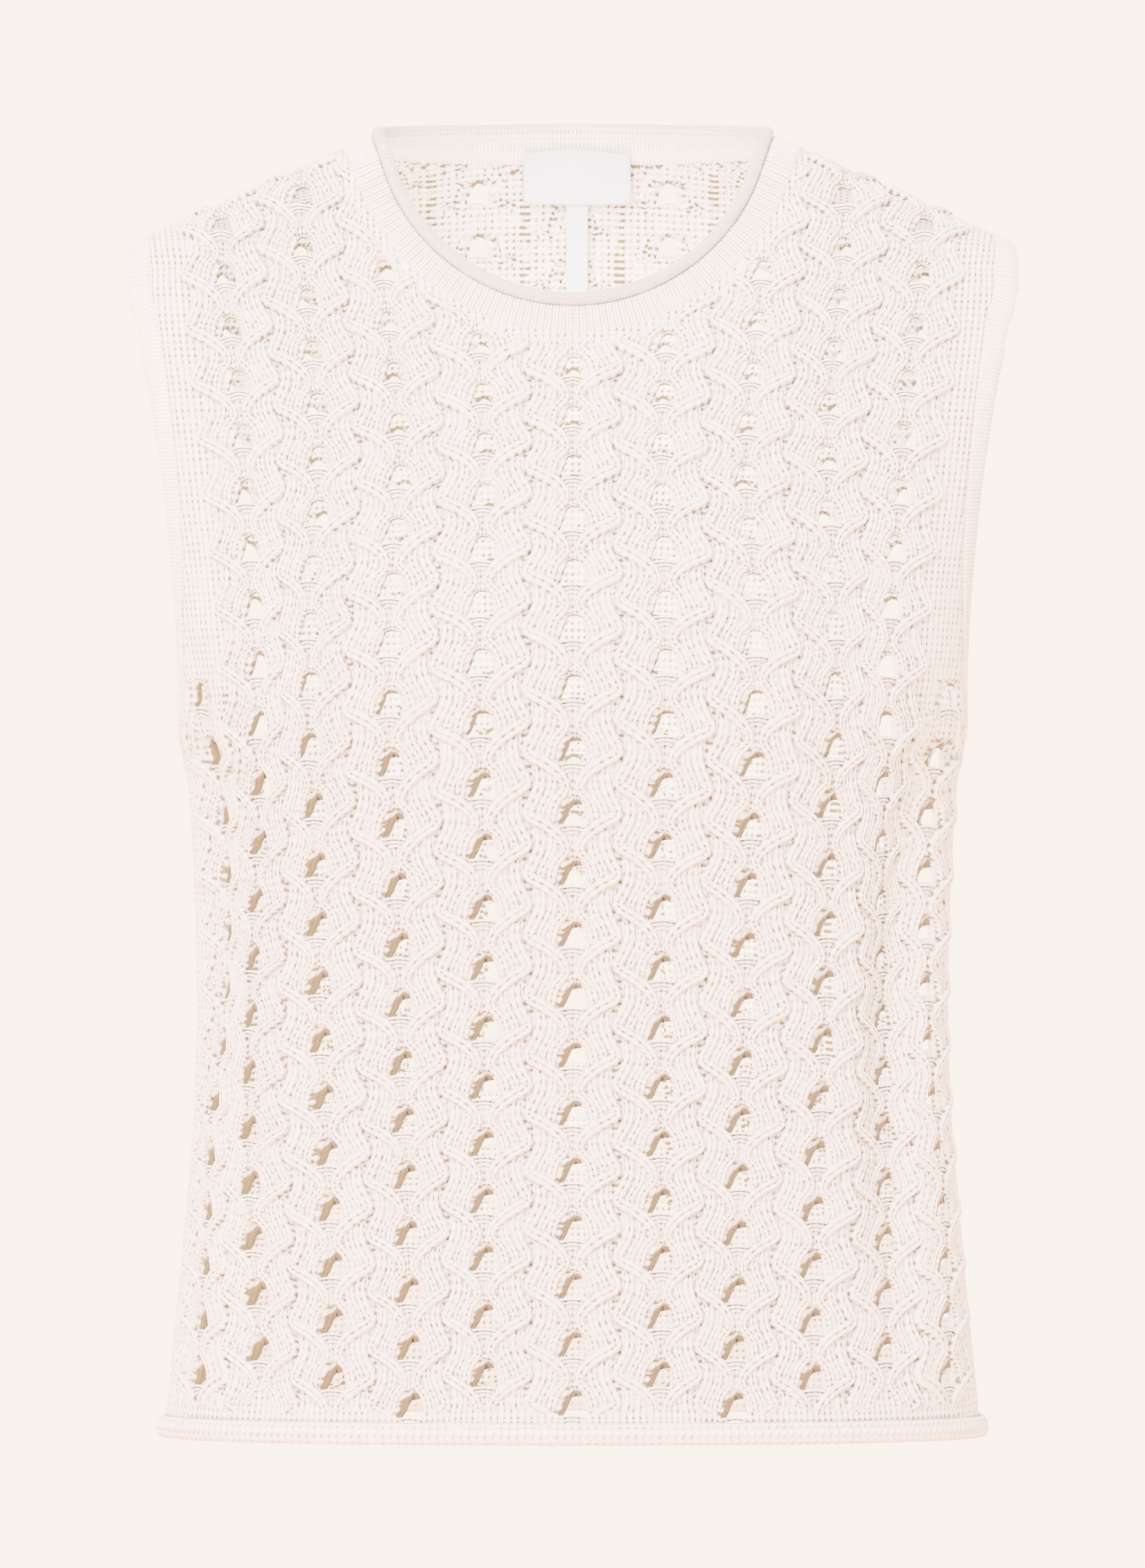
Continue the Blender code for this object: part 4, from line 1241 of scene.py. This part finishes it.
def build_bars(name, side):
    """The loose yarn that lies across the foot of each hole."""
    cloth = CLOTHS[side]
    holes = hole_places(side)
    template, around, ring = tube_template(name + "_bar", BAR_AROUND, BAR_RINGS)
    t = ring / (BAR_RINGS - 1) * 2 - 1
    turn = around / BAR_AROUND * 2 * math.pi
    radius = knit().bar_radius / MM
    points, heights = [], []
    for _, _, s0, b0, lean, left, right, size in holes:
        for below, half, height, bow in BARS:
            down = (below + bow * (1 - t**2)) * size + radius * 0.9 * np.cos(turn)
            reach = half * np.where(t < 0, left, right)
            points.append(np.stack([s0 + t * reach + lean * down, b0 + down], axis=1))
            heights.append(height - 0.9 * t**2 + radius * np.sin(turn))
    points = np.concatenate(points)
    mesh = repeated(name, template, len(holes) * len(BARS))
    set_coordinates(mesh, cloth.at(points[:, 0], points[:, 1], np.concatenate(heights)))
    count = len(holes) * len(BARS)
    set_stitches(mesh, np.tile(around / 3.0, count), np.tile(t * 3.0, count))
    # painted shade towards the ends of each bar, where it goes into the knit
    set_gap_shade(mesh, np.tile(np.clip(np.abs(t) - 0.6, 0, 1), count))
    face_out(mesh)
    bpy.data.meshes.remove(template)
    return piece_from(name, mesh, finish("cable_knit"))


class VEST_OT_bars(bpy.types.Operator):
    """Lay the ladder of loose yarn below every hole"""

    bl_idname = "vest.bars"
    bl_label = "Ladders"

    def execute(self, context):
        for name, side in SIDES.items():
            build_bars(name + "_ladders", side)
        return {"FINISHED"}


# ---------------------------------------------------------------- bands and rolls


def band_ring(name, quarters, profile_size):
    """A closed band through stations of a profile."""
    places = np.concatenate(quarters)
    count = len(places)
    mesh, part, station = ring_template(name, profile_size, count)
    set_coordinates(mesh, places[station, part])
    face_out(mesh)
    return mesh, part, station, count


RIB_POINTS = 8              # stations in a pair of ribs, with a deep groove and a shallow one
RIB_SHAPE = (0.0, 0.8, 1.0, 0.85, 0.55, 0.85, 1.0, 0.8)
# painted shade across a pair of ribs, deepest in the deep groove
RIB_GAP_SHADE = (0.95, 0.2, 0.0, 0.1, 0.5, 0.1, 0.0, 0.2)
NECK_STATIONS = {FRONT: 401, BACK: 281}
ARMHOLE_STATIONS = 641
ROLL_ACROSS, ROLL_UP = 2.7, 2.8     # half sizes of the neck's roll
ROLL_MIDDLE = 2.5                   # height of its middle
ROLL_TURN = (-12, 215, 13)          # degrees at its start and end, and its points
GROOVE_PART = 9                     # the row of the profile between the ribs and the roll
HEM_STATIONS = 560                  # along one panel
HEM_AROUND = 16
HEM_MIDDLE = (4.9, 2.7)             # drop below the hem's edge, and height
HEM_ROUND = (4.7, 3.4)              # half sizes of the hem's roll
HEM_SLANT = 0.35                    # of a stitch for each step round the roll
STATIONS_PER_STITCH = 4.0


def band_places(edge, rows, mirror, stand=0.0):
    """Places along an edge for the rows of a band, each a distance across and a height."""
    count = len(edge.points)
    stations = []
    for across, height in rows:
        across = np.broadcast_to(across, count)
        moved = edge.strip(across)
        placed = CLOTHS[edge.side].at(moved[:, 0], moved[:, 1], np.broadcast_to(height, count))
        lift = np.clip(across / NECKBAND_WIDTHS[BACK], 0, 1) ** 2
        placed[:, 2] += stand * lift * MM
        placed[:, 0] *= mirror
        stations.append(placed)
    return np.stack(stations, axis=1)


def neckband_quarter(side, mirror, count):
    edge = Edge("neck", side, count)
    t = ease(np.linspace(0, 1, count))
    middle_width = sum(NECKBAND_WIDTHS.values()) / 2
    width = NECKBAND_WIDTHS[side] * (1 - t) + middle_width * t
    rib = np.array(RIB_SHAPE)[np.arange(count) % RIB_POINTS]
    ribbed = width - 0.7
    rows = [(-1.2, 0.4), (-1.4, 1.9), (-0.9, 2.9)]
    rows += [(ribbed * share, 2.5 + 0.8 * rib) for share in (0.04, 0.2, 0.4, 0.6, 0.8, 0.96)]
    rows.append((ribbed + 0.5, 2.0))
    for angle in np.radians(np.linspace(*ROLL_TURN)):
        rows.append((width + ROLL_ACROSS - ROLL_ACROSS * math.cos(angle),
                     ROLL_MIDDLE + ROLL_UP * math.sin(angle)))
    rows.append((ribbed, 0.2))
    beside, at_middle = NECK_STAND
    from_middle = np.linspace(0, 1, count)
    stand = beside * np.sin(math.pi * from_middle**1.6) + at_middle * (1 - from_middle)
    return band_places(edge, rows, mirror, stand if side == BACK else 0.0)


def build_neckband():
    quarter = {(side, mirror): neckband_quarter(side, mirror, NECK_STATIONS[side])
               for side in (FRONT, BACK) for mirror in (1.0, -1.0)}
    loop = [quarter[FRONT, 1.0], quarter[BACK, 1.0][-2::-1],
            quarter[BACK, -1.0][1:], quarter[FRONT, -1.0][-2:0:-1]]
    size = loop[0].shape[1]
    mesh, part, station, total = band_ring("neckband_knit", loop, size)
    rolled = part > GROOVE_PART
    set_stitches(mesh, station * 2 / RIB_POINTS, part * 1.3,
                 wrap_u=total * 2 / RIB_POINTS, wrap_v=size * 1.3)
    # painted shade: in the rib grooves, faint over the roll, solid along the crease between the ribs and
    # the roll, and full on the roll's first row
    groove_shade = np.array(RIB_GAP_SHADE)[station % RIB_POINTS]
    gap_shade = np.where((part > 2) & (part < GROOVE_PART), groove_shade, 0.0)
    gap_shade = np.where(part == GROOVE_PART, 1.35, gap_shade)
    gap_shade = np.where(rolled, 0.2, gap_shade)
    set_gap_shade(mesh, np.where(part == GROOVE_PART + 1, 1.0, gap_shade))
    piece = piece_from("neckband_knit", mesh, finish("band_rib"), ["neckband"])
    mesh.materials.append(finish("roll_knit"))
    corners = corner_vertices(mesh)
    is_roll = rolled[corners]
    slots = [1 if is_roll[p.loop_start:p.loop_start + p.loop_total].all() else 0
             for p in mesh.polygons]
    mesh.polygons.foreach_set("material_index", slots)
    return piece


def armband_half(side, mirror, count):
    edge = Edge("armhole", side, count)
    rib = np.array(RIB_SHAPE)[np.arange(count) % RIB_POINTS]
    rows = [(1.0, 0.2), (-0.4, 1.0), (-0.5, 2.4 + 0.3 * rib), (0.9, 2.9 + 0.5 * rib)]
    rows += [(across, 2.8 + 0.5 * rib) for across in (2.5, 4.2, 5.9, 7.6)]
    rows += [(8.8, 2.4 + 0.3 * rib), (9.6, 1.4), (9.3, 0.2)]
    return band_places(edge, rows, mirror)


def build_armband(name, mirror):
    half = {side: armband_half(side, mirror, ARMHOLE_STATIONS) for side in (FRONT, BACK)}
    loop = [half[FRONT], half[BACK][-2:0:-1]]
    size = loop[0].shape[1]
    mesh, part, station, total = band_ring(name + "_knit", loop, size)
    set_stitches(mesh, station * 2 / RIB_POINTS, part * 1.2,
                 wrap_u=total * 2 / RIB_POINTS, wrap_v=size * 1.2)
    # painted shade in the rib grooves, full on the rows at both edges
    gap_shade = np.array(RIB_GAP_SHADE)[station % RIB_POINTS] * 0.6
    set_gap_shade(mesh, np.where(np.isin(part, (0, size - 1, size - 2)), 1.0, gap_shade))
    return piece_from(name + "_knit", mesh, finish("band_rib"), [name])


def build_hem_roll():
    """The hem's self roll: round, with purl bumps in slanting rows."""
    columns = np.linspace(-SEAM_COLUMN, SEAM_COLUMN, HEM_STATIONS + 1)
    stations = []
    for side in (FRONT, BACK):
        rows = []
        for i in range(HEM_AROUND):
            angle = 2 * math.pi * i / HEM_AROUND
            below = HEM_MIDDLE[0] - HEM_ROUND[0] * math.cos(angle)
            height = HEM_MIDDLE[1] + HEM_ROUND[1] * math.sin(angle)
            drop = hem_drop(columns) + below
            s = column_place(columns, drop, side)
            phase = np.arange(HEM_STATIONS + 1) / STATIONS_PER_STITCH + i * HEM_SLANT
            ripple = 0.35 * np.sin(2 * math.pi * phase)
            rows.append(CLOTHS[side].at(s, drop, height + ripple))
        placed = np.stack(rows, axis=1)
        stations.append(placed[:-1] if side == FRONT else placed[:0:-1])
    mesh, part, station, total = band_ring("hem_roll_knit", stations, HEM_AROUND)
    stitch = station / STATIONS_PER_STITCH
    set_stitches(mesh, stitch, part * 0.45, wrap_u=total / STATIONS_PER_STITCH,
                 wrap_v=HEM_AROUND * 0.45)
    # painted shade in slanting dashes between the purl bumps, and on the rows where the roll meets the
    # panel
    dash_shade = np.clip(-np.sin(2 * math.pi * (stitch + part * HEM_SLANT)), 0, 1)
    set_gap_shade(mesh, np.where(np.isin(part, (0, 1)), 0.7, dash_shade * 0.6))
    return piece_from("hem_roll_knit", mesh, finish("roll_knit"), ["hem_roll"])


class VEST_OT_bands(bpy.types.Operator):
    """Knit the neckband, both armbands and the rolled hem"""

    bl_idname = "vest.bands"
    bl_label = "Bands and hem"

    def execute(self, context):
        build_neckband()
        build_armband("armband_left", 1.0)
        build_armband("armband_right", -1.0)
        build_hem_roll()
        return {"FINISHED"}


# ---------------------------------------------------------------- label and ribbon

TAG_COLUMNS = ("name", "middle", "half_width", "top", "foot", "lift", "bow", "slot")
TAGS = (
    ("neck_label", 2.3, 24.0, 6.8, 30.0, 3.2, 0.5, "label_weave"),
    ("care_ribbon", 2.0, 4.9, 29.6, 89.0, 2.4, 0.0, "ribbon_weave"),
)
TAG_THICKNESS = 0.0005


def build_tag(name, middle, half_width, top, foot, lift, bow, slot):
    """A small woven piece, bare, hanging inside the back."""
    made = bmesh.new()
    bmesh.ops.create_grid(made, x_segments=24, y_segments=30, size=1)
    flat = np.array([v.co[:2] for v in made.verts])
    mesh = mesh_from(name, made)
    x, y = flat[:, 0], flat[:, 1]
    s = middle + x * half_width
    b = (top + foot) / 2 + y * (foot - top) / 2 + bow * (y * (1 - x**2) + 0.15 * np.sin(3 * x))
    height = -lift - 0.35 * np.sin(2.2 * x + 1.1 * y) - 0.25 * y
    set_coordinates(mesh, CLOTHS[BACK].at(s, b, height))
    set_stitches(mesh, x * half_width / 0.35, y * (foot - top) / 0.7)
    set_gap_shade(mesh, np.zeros(len(x)))
    piece = piece_from(name + "_weave", mesh, finish("label_weave"), [name])
    shell = piece.modifiers.new("thickness", "SOLIDIFY")
    shell.thickness = TAG_THICKNESS
    shell.offset = 0.0
    return piece


class VEST_OT_label(bpy.types.Operator):
    """Hang the bare neck label and the bare ribbon below it"""

    bl_idname = "vest.label"
    bl_label = "Label and ribbon"

    def execute(self, context):
        for row in TAGS:
            build_tag(*row)
        return {"FINISHED"}


# ---------------------------------------------------------------- stage

FLOOR_HALF_WIDTH = 3.5
LIGHT_COLUMNS = ("name", "place", "aim", "size", "power", "colour")
LIGHTS = (
    ("key", (-1.2, -3.5, 1.6), (0.0, 0.0, -0.26), (1.3, 1.3), 640.0, (1.0, 0.80, 0.82)),
    ("inside_back", (0.0, -0.01, -0.27), (0.0, 1.0, -0.27), (0.24, 0.46), 3.4, (1.0, 0.82, 0.60)),
    ("inside_front", (0.0, 0.01, -0.27), (0.0, -1.0, -0.27), (0.24, 0.46), 3.4, (1.0, 0.82, 0.60)),
)


def add_light(place_in, name, place, aim, size, power, colour):
    """A soft rectangular light; those inside stand in for light that comes through the knit."""
    light = bpy.data.lights.new(name, "AREA")
    light.shape = "RECTANGLE"
    light.size, light.size_y = size
    light.energy = power
    light.color = colour
    lamp = bpy.data.objects.new(name, light)
    lamp.location = place
    lamp.rotation_euler = (Vector(aim) - Vector(place)).to_track_quat("-Z", "Y").to_euler()
    lamp.visible_camera = False
    place_in.objects.link(lamp)


class VEST_OT_stage(bpy.types.Operator):
    """Set the floor, the soft lights and the camera"""

    bl_idname = "vest.stage"
    bl_label = "Studio"

    def execute(self, context):
        settings = studio()
        made = bmesh.new()
        bmesh.ops.create_grid(made, x_segments=1, y_segments=1, size=FLOOR_HALF_WIDTH)
        bmesh.ops.translate(made, verts=made.verts, vec=Vector((0, 0.5, -settings.floor_drop)))
        mesh = mesh_from("floor", made)
        floor = bpy.data.objects.new("floor", mesh)
        context.scene.collection.objects.link(floor)
        paper = Finish("floor_paper")
        paper.set(Base_Color=tuple(colours().backdrop[:]), Roughness=0.9)
        mesh.materials.append(paper.material)

        world = bpy.data.worlds.new("studio")
        world.use_nodes = True
        sky = Finish("sky", world.node_tree)
        place = sky.node("ShaderNodeTexCoord", {})
        sides = sky.node("ShaderNodeSeparateXYZ", {}, Vector=place.outputs["Generated"])
        across = Value(sky, sides.outputs[0])
        dimmer = across.ramp(0.25, 0.9) * settings.dim_right
        dimmer += (0.0 - across).ramp(0.25, 0.9) * settings.dim_left
        back = world.node_tree.nodes["Background"]
        sky.put(back.inputs["Color"], tuple(colours().backdrop[:]))
        sky.put(back.inputs["Strength"], (1.0 - dimmer) * settings.backdrop_light)
        context.scene.world = world

        for row in LIGHTS:
            add_light(context.scene.collection, *row)

        data = bpy.data.cameras.new("camera")
        data.sensor_width = 36.0
        data.lens = settings.camera_distance * data.sensor_width / settings.view_height
        camera = bpy.data.objects.new("camera", data)
        camera.location = (0.0, -settings.camera_distance, settings.camera_height)
        camera.rotation_euler = (math.pi / 2, 0.0, 0.0)
        context.scene.collection.objects.link(camera)
        context.scene.camera = camera
        return {"FINISHED"}


# ---------------------------------------------------------------- add-on

OPERATORS = (VEST_OT_panels, VEST_OT_cables, VEST_OT_bars, VEST_OT_bands, VEST_OT_label,
             VEST_OT_stage)
GROUPS = {"vest_knit": VestKnit, "vest_colours": VestColours, "vest_studio": VestStudio}


class VEST_PT_panel(bpy.types.Panel):
    """Lists the steps that make the vest"""

    bl_label = "Cable-knit vest"
    bl_idname = "VEST_PT_panel"
    bl_space_type = "VIEW_3D"
    bl_region_type = "UI"
    bl_category = "Vest"

    def draw(self, context):
        for name, group in GROUPS.items():
            settings = getattr(context.scene, name)
            for field in group.__annotations__:
                self.layout.prop(settings, field)
        for operator in OPERATORS:
            self.layout.operator(operator.bl_idname)


def register():
    for group in GROUPS.values():
        bpy.utils.register_class(group)
    for name, group in GROUPS.items():
        setattr(bpy.types.Scene, name, bpy.props.PointerProperty(type=group))
    for operator in OPERATORS:
        bpy.utils.register_class(operator)
    bpy.utils.register_class(VEST_PT_panel)


def unregister():
    bpy.utils.unregister_class(VEST_PT_panel)
    for operator in reversed(OPERATORS):
        bpy.utils.unregister_class(operator)
    for name in GROUPS:
        delattr(bpy.types.Scene, name)
    for group in reversed(list(GROUPS.values())):
        bpy.utils.unregister_class(group)


def main():
    register()
    for operator in OPERATORS:
        group, name = operator.bl_idname.split(".")
        getattr(getattr(bpy.ops, group), name)()


if __name__ == "__main__":
    main()
